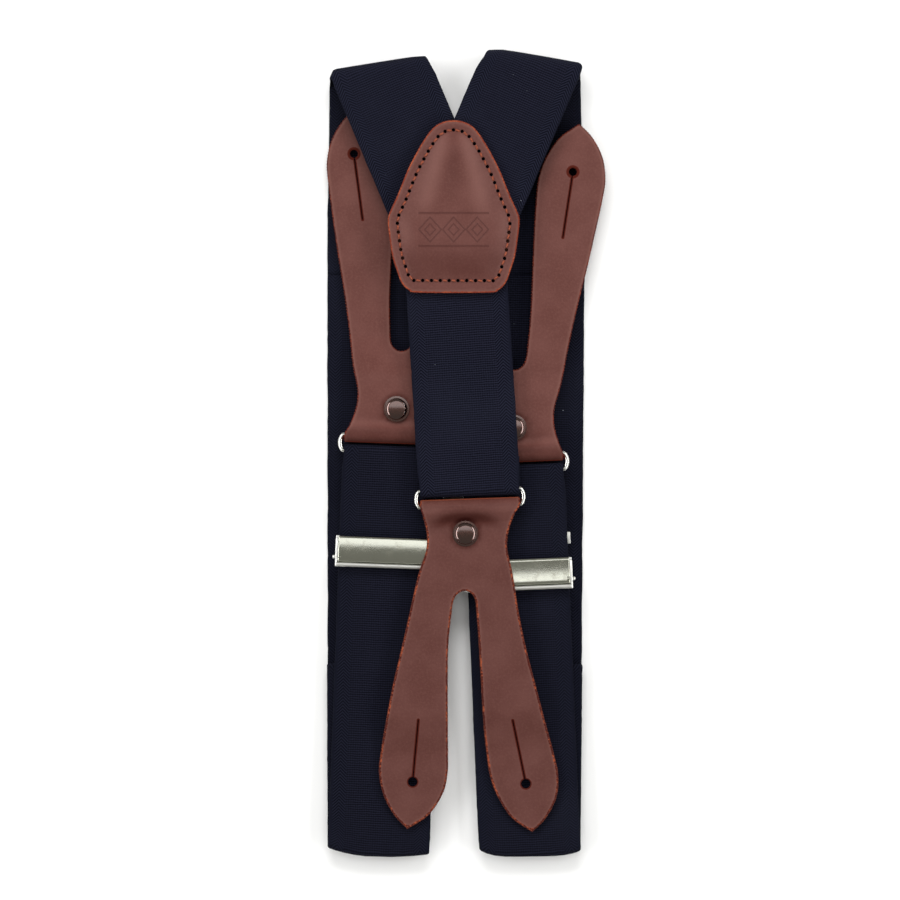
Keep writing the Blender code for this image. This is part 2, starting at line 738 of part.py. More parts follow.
def adjuster(side):
    body, lever_body = side + "_adjuster", side + "_lever"
    pivot = Vector((0, PIVOT_V, PIVOT_Z))

    def fitted(kind, name, bm, owner, operation, target):
        combine(target, kind(name, set_on_strap(bm, side), owner), operation)

    # The stamped frame: a plate that steps down to the anchor bar, two ears and a lip across the front.
    sheet = Band((0, PLATE_V[0], PLATE_Z), (0, 1, 0), UP, 2 * FRAME_HALF)
    sheet.run(PLATE_V[1] - PLATE_V[0] - SHEET)
    sheet.width = 2 * ARM_HALF
    sheet.run(SHEET)
    sheet.change_level(ANCHOR_Z, slope_degrees=40.0, radius=0.8)
    sheet.run_to_y(ANCHOR_V[1])
    bm = set_on_strap(strip(sheet.cut()), side)
    frame = new_piece(side + "_adjuster_frame", bm, "nickel", body)
    thicken(frame, SHEET)
    window = box((-WINDOW_HALF, PLATE_V[1], 0), (WINDOW_HALF, ANCHOR_V[0], LEVER_TOP + 5))
    fitted(new_cutter, side + "_window", window, body, "DIFFERENCE", frame)
    for sign in (-1, 1):
        x = sorted((sign * EAR_INNER, sign * (FRAME_HALF - EDGE)))
        ear = box((x[0], PLATE_V[0] + EDGE, PLATE_Z), (x[1], PLATE_V[1] - SHEET - EDGE, LEVER_TOP))
        fitted(new_cutter, f"{side}_ear_{sign + 1}", ear, body, "UNION", frame)
    reach = FRAME_HALF - 2 * EDGE
    lip = box((-reach, PLATE_V[0] + 2 * EDGE, LEVER_TOP - 1.1), (reach, PLATE_V[0] + 1.4, LEVER_TOP - 0.1))
    fitted(new_cutter, side + "_lip", lip, body, "UNION", frame)
    thin = SHEET / 2 - EDGE
    stub = box(
        (ARM_HALF - CLEAR, ANCHOR_V[0] + EDGE, ANCHOR_Z - thin),
        (STUB_END, ANCHOR_V[1] - EDGE, ANCHOR_Z + thin),
    )
    fitted(new_cutter, side + "_stub", stub, body, "UNION", frame)
    hole = rod(PIN_HOLE_R, FRAME_HALF + 1, pivot)
    fitted(new_cutter, side + "_pin_hole", hole, body, "DIFFERENCE", frame)

    new_piece(side + "_adjuster_pin", set_on_strap(rod(PIN_R, PIN_HALF, pivot), side), "nickel", body)

    # The lever: a plate over the strap, cheeks round the pin and a clamping bar under it.
    half = EAR_INNER - CLEAR
    plate = box((-half, PIVOT_V - 0.9, LEVER_TOP - 0.6), (half, PLATE_V[1], LEVER_TOP))
    lever = new_piece(side + "_adjuster_lever", set_on_strap(plate, side), "nickel", lever_body)
    reach = half - 0.3
    clamp = box((-reach, PIVOT_V - 0.5, PIVOT_Z - 1.6), (reach, PIVOT_V + 0.5, PIVOT_Z - 0.8))
    fitted(new_cutter, side + "_clamp", clamp, lever_body, "UNION", lever)
    for sign in (-1, 1):
        cheek = rod(1.2, 0.4, pivot + Vector((sign * (half - 0.5), 0, 0)))
        fitted(new_cutter, f"{side}_cheek_{sign + 1}", cheek, lever_body, "UNION", lever)
    hole = rod(PIN_HOLE_R, FRAME_HALF + 1, pivot)
    fitted(new_cutter, side + "_lever_hole", hole, lever_body, "DIFFERENCE", lever)


# ---------------------------------------------------------------- bodies, and the whole


def body_pivots():
    """Each moving body with its parent and a point on its joint's axis."""
    pivots = {"root": (None, Vector((0, 0, 0))), "back_section": ("root", BACK_HINGE)}
    for name in RINGS:
        owner = "back_section" if name == "back" else "root"
        pivots[name + "_ring_body"] = (owner, strap_bar(name))
        pivots[name + "_tab_body"] = (name + "_ring_body", leather_bar(name))
    for side in ADJUSTERS:
        pivots[side + "_adjuster"] = ("root", adjuster_middle(side))
        pivot = adjuster_middle(side) + page_direction(FRONT_LEAN[side]) * PIVOT_V + UP * PIVOT_Z
        pivots[side + "_lever"] = (side + "_adjuster", pivot)
    return pivots


def build_bodies(pivots):
    for name, (parent, place) in pivots.items():
        empty = bpy.data.objects.new(name, None)
        PARTS.objects.link(empty)
        empty.location = place * MM
        if parent:
            empty.parent = bpy.data.objects[parent]
            empty.location -= pivots[parent][1] * MM


def centre_on_floor():
    """Moves everything so that the origin is under the middle of the footprint."""
    bpy.context.view_layer.update()
    graph = bpy.context.evaluated_depsgraph_get()
    places = []
    for piece in PARTS.objects:
        if piece.type != "EMPTY":
            shape = piece.evaluated_get(graph)
            places += [shape.matrix_world @ vertex.co for vertex in shape.to_mesh().vertices]
            shape.to_mesh_clear()
    low, high = (Vector(map(pick, zip(*places))) for pick in (min, max))
    bpy.data.objects["root"].location = -Vector(((low.x + high.x) / 2, (low.y + high.y) / 2, low.z))


clear_scene()
PARTS = new_collection("suspenders")
CUTTERS = new_collection("cutters")
for colour in COLOURS:
    new_material(colour)
BODIES = body_pivots()
PIVOTS = {name: place for name, (_, place) in BODIES.items()}
build_bodies(BODIES)

for hand in ("left", "right"):
    front_strap(hand)
    return_strap(hand)
    adjuster(hand)
back_strap()
patches()
patch_thread()
for ring_name in RINGS:
    ring(ring_name, ring_name + "_ring_body")
    tab(ring_name, ring_name + "_tab_body")
    rivet(ring_name, ring_name + "_tab_body")
centre_on_floor()
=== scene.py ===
"""The looks of the button-on suspenders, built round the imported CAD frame.

The suspenders lie folded and face up on a pale floor, seen from straight above. Webbing, leather and wire are
made again here with their weave, grain, stitching and raw edges, each piece where its CAD node is, and most
ride on their node's body. Lengths are in millimetres in the row frame until a mesh is made.
"""

import math
import random
from bisect import bisect_left
from collections import namedtuple

import bmesh
import bpy
from mathutils import Matrix, Vector, noise
from mathutils.kdtree import KDTree


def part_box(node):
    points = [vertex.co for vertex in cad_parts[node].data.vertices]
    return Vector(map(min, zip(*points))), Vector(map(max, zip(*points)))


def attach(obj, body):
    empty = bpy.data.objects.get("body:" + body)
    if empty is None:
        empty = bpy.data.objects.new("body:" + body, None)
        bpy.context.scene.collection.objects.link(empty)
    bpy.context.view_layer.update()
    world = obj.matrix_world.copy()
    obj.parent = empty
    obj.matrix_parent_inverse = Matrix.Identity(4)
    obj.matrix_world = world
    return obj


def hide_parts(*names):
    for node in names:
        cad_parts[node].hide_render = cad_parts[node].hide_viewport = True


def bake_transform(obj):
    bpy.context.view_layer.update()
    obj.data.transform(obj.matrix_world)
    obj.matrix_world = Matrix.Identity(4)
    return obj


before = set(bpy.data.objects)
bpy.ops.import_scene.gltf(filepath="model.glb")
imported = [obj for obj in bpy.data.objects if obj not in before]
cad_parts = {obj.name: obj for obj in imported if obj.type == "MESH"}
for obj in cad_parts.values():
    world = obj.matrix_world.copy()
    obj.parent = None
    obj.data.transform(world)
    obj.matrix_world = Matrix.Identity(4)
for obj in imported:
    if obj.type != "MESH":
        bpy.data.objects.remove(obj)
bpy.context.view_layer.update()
SCENE = bpy.context.scene
random.seed(7)

MM = 0.001
UP = Vector((0, 0, 1))
SIDES = ("left", "right")
RINGS = ("left_front", "right_front", "back")


def low(node):
    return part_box(node)[0] / MM


def high(node):
    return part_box(node)[1] / MM


def middle_of(node):
    return (low(node) + high(node)) / 2


# Webbing
WEB_WIDTH, WEB_LOOP_WIDTH = 34.6, 33.8
WEB_THICK = 1.3
LAYER = 1.6  # from one layer of webbing to the next
FRONT_LEAN = {"left": 2.13, "right": -2.36}  # degrees clockwise of each front run, seen from above
BACK_LEAN = 3.56
V_LEAN = {"left": 22.8, "right": -23.2}
TOP_FOLD_MIDDLE = {"left": Vector((-30.7, 132.15, 0)), "right": Vector((24.4, 134.55, 0))}
WEB_FOLD_WIDTH = 33.5  # over the top folds
SPARE_Y = (-133.3, -74.0)  # the spare length lies folded between these, behind the front run
V_END_Y = 75.6
SPLIT_Y = 60.0  # where the webbing's hidden rear run changes from one piece to the next
LOOP_RUN = 2.0  # straight, on each side of a wrap round a bar
BACK_DESCENT_Y = 24  # where the back strap starts down to its ring
BACK_TAIL = 6.0  # of the back strap's sewn end
PHASE = {"left": 1.0, "right": 2.0, "return": 3.0, "back": 5.0}  # tells one piece's unevenness from another's

# Leather
LEATHER, BACKING = 1.8, 1.2
TAB_LOOP_HALF_WIDTH = 16.9
TAB_LEAN = {"left_front": 2.4, "right_front": 3.0, "back": 2.0}  # clockwise, from square to the ring
TAB_STRETCH = {"left_front": 1.02, "right_front": 1.015, "back": 1.003}
TAB_BOW = {"left_front": 0.0, "right_front": 0.0, "back": 2.1}  # sideways, half way along the prongs
TAB_SHEAR = {"left_front": 0.0, "right_front": 0.0, "back": -0.06}  # one prong lies further on
RIVET_V = 12.0
RIVET_SHIFT = {"left_front": 0.0, "right_front": 0.0, "back": 1.5}

# Wire rings
WIRE, BAR_SPACING, BAR_HALF, RING_END_BOW = 1.5, 5.9, 17.0, 1.3
BACK_RING_LEAN = 2.0

# Slide adjusters, with v measured along the strap towards the ring from the middle of the lever
FRAME_HALF, EAR_INNER, SHEET = 18.4, 17.65, 0.7
ARM_HALF, WINDOW_HALF, STUB_END = 17.2, 16.5, 18.3
ANCHOR_LOOP_WIDTH = 32.4
PLATE_V, ANCHOR_V, PIVOT_V = (-5.3, 5.2), (9.8, 13.8), -2.0

# Heights, each the middle of a layer's thickness
FLOOR_RUN_Z = WEB_THICK / 2
RETURN_Z = FLOOR_RUN_Z + LAYER
ANCHOR_LOOP_R = 1.25
ANCHOR_Z = RETURN_Z + ANCHOR_LOOP_R
FRONT_RUN_Z = high("left_strap_front").z - WEB_THICK / 2
V_RUN_Z = {side: high(side + "_strap_upper").z - WEB_THICK / 2 for side in SIDES}
PATCH_FRONT_Z = middle_of("patch_front").z
PATCH_BACK_Z = middle_of("patch_back").z
WEB_WRAP_R, LEATHER_WRAP_R = 1.7, 1.9
FACE_RISE, TONGUE_DROP = 1.15, 1.0
PRONG_Z = {"left_front": 2.5, "right_front": 4.6, "back": 8.15}
DROOP_V = {"left_front": 21.0, "right_front": 21.0, "back": 72.0}
DROOP = {"left_front": (13.0, 15.0), "right_front": (9.0, 20.0), "back": (14.0, 12.0)}
LEVER_TOP = high("left_adjuster_lever").z
PIVOT_Z = middle_of("left_adjuster_pin").z


def page_direction(degrees):
    """The level direction this many degrees clockwise from +Y."""
    turn = math.radians(degrees)
    return Vector((math.sin(turn), math.cos(turn), 0))


def at_height(point, z):
    return Vector((point.x, point.y, z))


def smooth(value, start, end):
    """0 before start and 1 after end, smoothly."""
    t = min(max((value - start) / (end - start), 0), 1)
    return t * t * (3 - 2 * t)


def bell(value, middle, width):
    """1 at middle, 0.37 at width from it, and 0 further out."""
    return math.exp(-(((value - middle) / width) ** 2))


def ring_frame(name):
    """A ring's middle, and the direction from its strap bar to its leather bar."""
    lean = 180 - BACK_RING_LEAN if name == "back" else FRONT_LEAN[name.split("_")[0]]
    return middle_of(name + "_ring"), page_direction(lean)


def strap_bar(name):
    middle, onward = ring_frame(name)
    return middle - onward * BAR_SPACING / 2


def leather_bar(name):
    middle, onward = ring_frame(name)
    return middle + onward * BAR_SPACING / 2


def adjuster_middle(side):
    pin = middle_of(side + "_adjuster_pin")
    return at_height(pin - page_direction(FRONT_LEAN[side]) * PIVOT_V, 0)


# ---------------------------------------------------------------- materials


class Look:
    """A material being made. Each method adds a node and returns what comes out of it."""

    def __init__(self, name):
        self.material = bpy.data.materials.new(name)
        self.material.use_nodes = True
        self.nodes = self.material.node_tree.nodes
        self.shader = self.nodes["Principled BSDF"]

    def put(self, socket, value):
        if isinstance(value, bpy.types.NodeSocket):
            self.material.node_tree.links.new(value, socket)
        elif socket.type == "RGBA":
            socket.default_value = (*value, 1)
        else:
            socket.default_value = value

    def finish(self, **values):
        for name, value in values.items():
            self.put(self.shader.inputs[name.replace("_", " ")], value)
        return self.material

    def add(self, kind, output, inputs, **settings):
        node = self.nodes.new(kind)
        for name, value in settings.items():
            setattr(node, name, value)
        for place, value in inputs.items():
            self.put(node.inputs[place], value)
        return node.outputs[output]

    def attribute(self, name, output="Vector"):
        return self.add("ShaderNodeAttribute", output, {}, attribute_name=name)

    def place(self):
        """The point on the mesh, in millimetres."""
        point = self.add("ShaderNodeTexCoord", "Object", {})
        return self.scaled(point, (1 / MM,) * 3)

    def scaled(self, vector, scale):
        return self.add("ShaderNodeVectorMath", 0, {0: vector, 1: scale}, operation="MULTIPLY")

    def split(self, vector):
        axes = self.add("ShaderNodeSeparateXYZ", 0, {0: vector}).node.outputs
        return axes[0], axes[1], axes[2]

    def math(self, operation, a, b=0.0, c=0.0):
        return self.add("ShaderNodeMath", 0, {0: a, 1: b, 2: c}, operation=operation)

    def times(self, a, b):
        return self.math("MULTIPLY", a, b)

    def size(self, a):
        return self.math("ABSOLUTE", a)

    def off(self, value, middle):
        """How far value is from middle."""
        return self.size(self.math("SUBTRACT", value, middle))

    def between(self, value, start, end):
        inputs = {"Value": value, "From Min": start, "From Max": end}
        return self.add("ShaderNodeMapRange", 0, inputs, interpolation_type="SMOOTHSTEP")

    def wave(self, value, pitch):
        """Goes from 0 to 1 and back with every pitch millimetres."""
        turn = self.times(value, math.tau / pitch)
        return self.math("MULTIPLY_ADD", self.math("SINE", turn), 0.5, 0.5)

    def noise(self, vector, per_mm, detail=2.0):
        return self.add("ShaderNodeTexNoise", 0, {"Vector": vector, "Scale": per_mm, "Detail": detail})

    def cells(self, vector, per_mm, feature="F1"):
        inputs = {"Vector": vector, "Scale": per_mm}
        return self.add("ShaderNodeTexVoronoi", "Distance", inputs, feature=feature)

    def mix(self, share, a, b):
        """Mixes two colours."""
        return self.add("ShaderNodeMix", 2, {0: share, 6: a, 7: b}, data_type="RGBA")

    def blend(self, share, a, b):
        """Mixes two numbers."""
        return self.add("ShaderNodeMix", 0, {0: share, 2: a, 3: b}, data_type="FLOAT")

    def bump(self, height, depth_mm, strength=1.0):
        inputs = {"Height": height, "Distance": depth_mm * MM, "Strength": strength}
        return self.add("ShaderNodeBump", 0, inputs)


BAND_START, BAND_WIDTH = 11.9, 4.3  # the herringbone bands, from the strap's middle line
SELVEDGE_START = BAND_START + BAND_WIDTH
RIB_PITCH, CHEVRON_PITCH = 0.78, 1.08
# Of each two colours, the first is between the threads and the second on them.
RIB_NAVY = (0.0020, 0.0021, 0.0048), (0.0165, 0.0174, 0.0325)
BAND_NAVY = (0.0018, 0.0020, 0.0050), (0.0165, 0.0177, 0.0330)
SELVEDGE_NAVY = (0.0035, 0.0040, 0.0085), (0.0130, 0.0140, 0.0270)
FADED_NAVY = (0.0055, 0.0060, 0.0105)
LINT = (0.20, 0.22, 0.25)
BLACK = (0, 0, 0)


def webbing_look():
    """Navy elastic: a ribbed middle, a herringbone band near each edge, and plain selvedges."""
    look = Look("navy_elastic_webbing")
    weave = look.attribute("weave")
    across, along, _ = look.split(weave)
    width = look.size(across)
    wander = look.noise(weave, 0.35, 3.0)
    ribs = look.wave(look.math("MULTIPLY_ADD", wander, 0.5, along), RIB_PITCH)
    columns = look.wave(across, RIB_PITCH)
    plain = look.blend(0.3, ribs, columns)
    zigzag = look.math("PINGPONG", look.math("SUBTRACT", width, BAND_START), BAND_WIDTH / 2)
    chevrons = look.wave(look.math("ADD", along, zigzag), CHEVRON_PITCH)
    in_band = look.between(width, BAND_START - 0.15, BAND_START + 0.15)
    in_selvedge = look.between(width, SELVEDGE_START - 0.1, SELVEDGE_START + 0.1)
    pattern = look.blend(in_band, plain, chevrons)
    yarn = look.noise(look.scaled(weave, (6, 2, 1)), 1.0, 3.0)
    tone = look.between(look.blend(0.4, pattern, yarn), 0.2, 0.8)
    tone = look.blend(0.92, 0.5, tone)
    dark, light = (look.mix(in_band, rib, band) for rib, band in zip(RIB_NAVY, BAND_NAVY))
    colour = look.mix(tone, dark, light)
    colour = look.mix(in_selvedge, colour, look.mix(yarn, *SELVEDGE_NAVY))
    fade = look.noise(weave, 0.03, 2.0)
    faded = look.mix(tone, FADED_NAVY, light)
    colour = look.mix(look.between(fade, 0.45, 0.75), colour, faded)
    # Painted shade: the colour is darkened towards black by the shade attribute, most on the lower layers.
    colour = look.mix(look.attribute("shade", "Fac"), BLACK, colour)
    lint = look.between(look.cells(look.scaled(weave, (0.9, 1.6, 1)), 0.16), 0.045, 0.02)
    lint = look.times(lint, look.between(look.noise(weave, 0.11), 0.55, 0.62))
    colour = look.mix(look.times(lint, 0.8), colour, LINT)
    height = look.math("ADD", tone, look.times(lint, 2.0))
    return look.finish(
        Base_Color=colour,
        Roughness=0.88,
        Specular_IOR_Level=0.05,
        Sheen_Weight=0.01,
        Sheen_Roughness=0.5,
        Sheen_Tint=(0.35, 0.45, 0.8),
        Normal=look.bump(height, 0.10, 0.7),
    )


LOZENGE_HALF_WIDTH, LOZENGE_HALF_HEIGHT = 4.0, 4.4
LOZENGE_SHARES = (0.45, 0.95)  # of that size, for the inner and the outer outline
RULE_HEIGHT, RULE_HALF = 5.6, 12.0


def emblem_lines(look, hide, centre):
    """Pressed lines on the patch: a row of three lozenges, one inside another, between two plain rules."""
    x, y, _ = look.split(hide)
    x = look.math("SUBTRACT", x, centre.x)
    y = look.math("SUBTRACT", y, centre.y)
    wide = look.size(look.math("WRAP", x, LOZENGE_HALF_WIDTH, -LOZENGE_HALF_WIDTH))
    wide = look.math("DIVIDE", wide, LOZENGE_HALF_WIDTH)
    reach = look.math("ADD", wide, look.math("DIVIDE", look.size(y), LOZENGE_HALF_HEIGHT))
    lines = look.between(look.off(look.size(y), RULE_HEIGHT), 0.45, 0.25)
    for share in LOZENGE_SHARES:
        lines = look.math("MAXIMUM", lines, look.between(look.off(reach, share), 0.12, 0.05))
    return look.times(lines, look.between(look.size(x), RULE_HALF + 0.1, RULE_HALF - 0.1))


def keyhole_rim(look, hide, centre, slit_end, pressed_r):
    """1 on the squeezed leather round a buttonhole and along its slit. The darkening there is partly the
    pressed leather's own colour and partly painted shade where it slopes into the hole and the cut.
    """
    step = (slit_end - centre).to_3d()

    def vector(operation, output, first, second):
        return look.add("ShaderNodeVectorMath", output, {0: first, 1: second}, operation=operation)

    flat = vector("SUBTRACT", 0, look.scaled(hide, (1, 1, 0)), centre.to_3d())
    share = vector("DOT_PRODUCT", "Value", flat, step / step.length_squared)
    share = look.add("ShaderNodeClamp", 0, {"Value": share})
    nearest = look.add("ShaderNodeVectorMath", 0, {0: step, "Scale": share}, operation="SCALE")
    slit = look.between(vector("DISTANCE", "Value", flat, nearest), 0.66, 0.42)
    hole = look.between(vector("LENGTH", "Value", flat, (0, 0, 0)), pressed_r + 0.2, pressed_r - 0.2)
    return look.math("MAXIMUM", slit, hole)


HIDE_BROWN = (0.094, 0.030, 0.024), (0.112, 0.039, 0.032)
FLESH_BROWN = (0.12, 0.055, 0.038), (0.20, 0.10, 0.07)
# Grain speckle, pore, and the lighter colour near the cut edge, which is partly burnished wear and partly
# painted highlight.
SPECKLE, PORE, WEAR_AND_HIGHLIGHT = (0.145, 0.056, 0.046), (0.05, 0.014, 0.010), (0.165, 0.070, 0.056)
# Colours of painted highlight and painted shade on the leather.
PAINTED_HIGHLIGHT_BROWN, PAINTED_SHADE_BROWN = (0.200, 0.090, 0.076), (0.020, 0.004, 0.003)
HOLE_RIM, PRESSED_LINE = (0.062, 0.009, 0.005), (0.055, 0.014, 0.011)
DARK_RAW, RUST_RAW, ORANGE_RAW = (0.060, 0.008, 0.005), (0.17, 0.026, 0.012), (0.30, 0.064, 0.025)


def leather_look(
    name, edge_width, raw_edge, shade=1.0, keyholes=(), pressed_r=2, emblem_centre=None, fold_y=None
):
    """Smooth reddish leather, with a raw cut edge this wide seen from above and a rough flesh side."""
    look = Look(name)
    hide = look.attribute("hide")
    edge = look.attribute("edge", "Fac")
    # This attribute holds painted light and shade for each vertex.
    painted_shading = look.attribute("painted_shading", "Fac")
    _, length, depth = look.split(hide)
    blotches = look.noise(hide, 0.09, 3.0)
    grain = look.noise(hide, 1.3, 4.0)
    pores = look.cells(hide, 1.7)
    colour = look.mix(look.between(blotches, 0.3, 0.7), *HIDE_BROWN)
    colour = look.mix(look.times(look.between(grain, 0.4, 0.75), 0.35), colour, SPECKLE)
    colour = look.mix(look.times(look.between(pores, 0.25, 0.05), 0.25), colour, PORE)
    # Lighter near the cut edge: partly burnished wear, partly a painted highlight along the rounded edge.
    colour = look.mix(look.times(look.between(edge, 1.5, 0.6), 0.4), colour, WEAR_AND_HIGHLIGHT)
    colour = look.scaled(colour, (shade,) * 3)
    flesh = look.between(depth, -0.35, -0.5)
    colour = look.mix(flesh, colour, look.mix(grain, *FLESH_BROWN))
    # Painted highlight where the shading is above 0, and painted shade where it is below 0; the painted shade
    # also makes the leather less glossy.
    colour = look.mix(look.math("MAXIMUM", painted_shading, 0.0), colour, PAINTED_HIGHLIGHT_BROWN)
    painted_shade_and_rim = look.math("MAXIMUM", look.times(painted_shading, -1.0), 0.0)
    colour = look.mix(painted_shade_and_rim, colour, PAINTED_SHADE_BROWN)
    for centre, slit_end in keyholes:
        # Pressed leather, darker in colour, with painted shade where it slopes into the hole.
        rim = look.times(keyhole_rim(look, hide, centre, slit_end, pressed_r), 0.9)
        colour = look.mix(rim, colour, HOLE_RIM)
        painted_shade_and_rim = look.math("MAXIMUM", painted_shade_and_rim, rim)
    # A painted highlight along the crest of the fold round the ring's bar, in the raw edge's lighter colour.
    if fold_y is not None:
        fold = look.between(look.off(length, fold_y + 0.2), 0.9, 0.5)
        colour = look.mix(look.times(fold, 0.7), colour, raw_edge[1])
    height = look.blend(0.5, grain, pores)
    if emblem_centre:
        pressed = emblem_lines(look, hide, emblem_centre)
        colour = look.mix(look.times(pressed, 0.55), colour, PRESSED_LINE)
        height = look.math("SUBTRACT", height, look.times(pressed, 2.6))
    ragged = look.noise(hide, 1.1, 3.0)
    ragged = look.math("MULTIPLY_ADD", ragged, -1.4 * edge_width, edge)
    raw = look.between(ragged, 0.35 * edge_width, -0.05 * edge_width)
    tufts = look.noise(hide, 0.2, 1.0)
    fibres = look.math("MULTIPLY_ADD", tufts, 0.6, look.noise(hide, 1.5, 3.0))
    colour = look.mix(raw, colour, look.mix(look.between(fibres, 0.76, 0.98), *raw_edge))
    rough = look.blend(raw, look.math("MULTIPLY_ADD", blotches, 0.16, 0.40), 0.9)
    return look.finish(
        Base_Color=colour,
        Roughness=look.blend(flesh, rough, 0.95),
        Specular_IOR_Level=look.blend(look.between(painted_shade_and_rim, 0.0, 0.6), 0.30, 0.03),
        Normal=look.bump(height, 0.06, 0.55),
    )


def thread_look(name, dark, light):
    look = Look(name)
    place = look.place()
    twist = look.noise(place, 2.4, 3.0)
    colour = look.mix(look.between(twist, 0.3, 0.7), dark, light)
    return look.finish(Base_Color=colour, Roughness=0.75, Normal=look.bump(twist, 0.12))


def metal_look(name, colour, dull, roughness, brushed=(1, 1, 1), scratched=0.5, lacquer=0.0):
    """Metal with fine scratches along its long way, dull marks from handling, and maybe lacquer over it."""
    look = Look(name)
    place = look.place()
    scratches = look.noise(look.scaled(place, brushed), 2.2, 4.0)
    marks = look.noise(place, 0.35, 3.0)
    worn = look.between(marks, 0.5, 0.75)
    base = look.mix(look.times(worn, 0.5), colour, dull)
    rough = look.math("MULTIPLY_ADD", scratches, 0.12, roughness - 0.04)
    rough = look.math("MULTIPLY_ADD", worn, 0.08, rough)
    return look.finish(
        Base_Color=base,
        Metallic=1.0,
        Coat_Weight=lacquer,
        Coat_IOR=2.1,
        Coat_Roughness=0.12,
        Roughness=rough,
        Normal=look.bump(scratches, 0.012, scratched),
    )


def floor_look():
    look = Look("pale_floor")
    tone = look.noise(look.place(), 0.02, 2.0)
    return look.finish(
        Base_Color=look.mix(tone, (0.90, 0.90, 0.90), (0.92, 0.92, 0.92)),
        Roughness=0.7,
        Specular_IOR_Level=0.1,
    )


PATCH_MIDDLE = middle_of("patch_front")
PATCH_BOTTOM = low("patch_front") + Vector((0, 0.3, 0))
WEBBING = webbing_look()
EMBLEM_CENTRE = Vector((PATCH_MIDDLE.x, PATCH_BOTTOM.y + 21.3, 0))
BACKING_LEATHER = leather_look("backing_leather", 0.4, (DARK_RAW, RUST_RAW))
PATCH_LEATHER = leather_look("patch_leather", 0.5, (RUST_RAW, ORANGE_RAW), emblem_centre=EMBLEM_CENTRE)
RAW_FIBRE = thread_look("raw_leather_fibre", DARK_RAW, (0.26, 0.055, 0.022))
RUST_THREAD = thread_look("rust_thread", (0.15, 0.028, 0.014), (0.34, 0.085, 0.038))
NICKEL = metal_look("bright_nickel", (0.84, 0.84, 0.80), (0.62, 0.61, 0.55), 0.16, scratched=0.1)
FRAME_NICKEL = metal_look("frame_nickel", (0.90, 0.90, 0.87), (0.74, 0.73, 0.68), 0.34, scratched=0.2)
LEVER_NICKEL = metal_look("satin_nickel", (0.72, 0.73, 0.64), (0.62, 0.61, 0.51), 0.15, (0.2, 3, 3))
BRONZE = metal_look("dark_bronze", (0.11, 0.030, 0.018), (0.08, 0.025, 0.016), 0.2, lacquer=1.0)


# ---------------------------------------------------------------- making pieces


def place_in_scene(name, data):
    thing = bpy.data.objects.new(name, data)
    SCENE.collection.objects.link(thing)
    return thing


def new_piece(name, mesh, look, body, stands_for):
    """An object of the suspenders, in place. It rides on body, or stays unattached where that is None."""
    mesh.name = name
    mesh.materials.append(look)
    piece = place_in_scene(name, mesh)
    if body:
        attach(piece, body)
    if stands_for:
        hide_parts(*stands_for)
    return piece


def to_mesh(bm, sharp_degrees=None):
    """A smooth-shaded mesh in metres from a bmesh in millimetres."""
    bmesh.ops.recalc_face_normals(bm, faces=bm.faces)
    bmesh.ops.scale(bm, vec=(MM, MM, MM), verts=bm.verts)
    for face in bm.faces:
        face.smooth = True
    mesh = bpy.data.meshes.new("new")
    bm.to_mesh(mesh)
    bm.free()
    if sharp_degrees:
        mesh.set_sharp_from_angle(angle=math.radians(sharp_degrees))
    return mesh


def store(mesh, name, kind, values):
    """Keeps a value per vertex for the materials to read."""
    attribute = mesh.attributes.new(name, kind, "POINT")
    field = "vector" if kind == "FLOAT_VECTOR" else "value"
    flat = [x for value in values for x in value] if kind == "FLOAT_VECTOR" else list(values)
    attribute.data.foreach_set(field, flat)


def wire_object(name, lines, radius, look, body, stands_for, closed=False):
    """Round wires or threads along lines of points."""
    curve = bpy.data.curves.new(name, "CURVE")
    curve.dimensions = "3D"
    curve.bevel_depth = radius * MM
    curve.bevel_resolution = 5
    curve.use_fill_caps = True
    for line in lines:
        spline = curve.splines.new("NURBS")
        spline.points.add(len(line) - 1)
        for point, place in zip(spline.points, line):
            point.co = (*(place * MM), 1)
        spline.order_u = 3
        spline.resolution_u = 4
        spline.use_endpoint_u = not closed
        spline.use_cyclic_u = closed
    return new_piece(name, curve, look, body, stands_for)


def skin(bm, loops):
    """Closes loops of vertices into a solid, with a face over each end."""
    for first, second in zip(loops, loops[1:]):
        for k in range(len(first)):
            after = (k + 1) % len(first)
            bm.faces.new((first[k], first[after], second[after], second[k]))
    bm.faces.new(loops[0][::-1])
    bm.faces.new(loops[-1])


# ---------------------------------------------------------------- bands: webbing and folded leather


# A row across a band, this length along it. Slope is how far it leans forward for each millimetre across.
Row = namedtuple("Row", "length middle direction width normal slope")


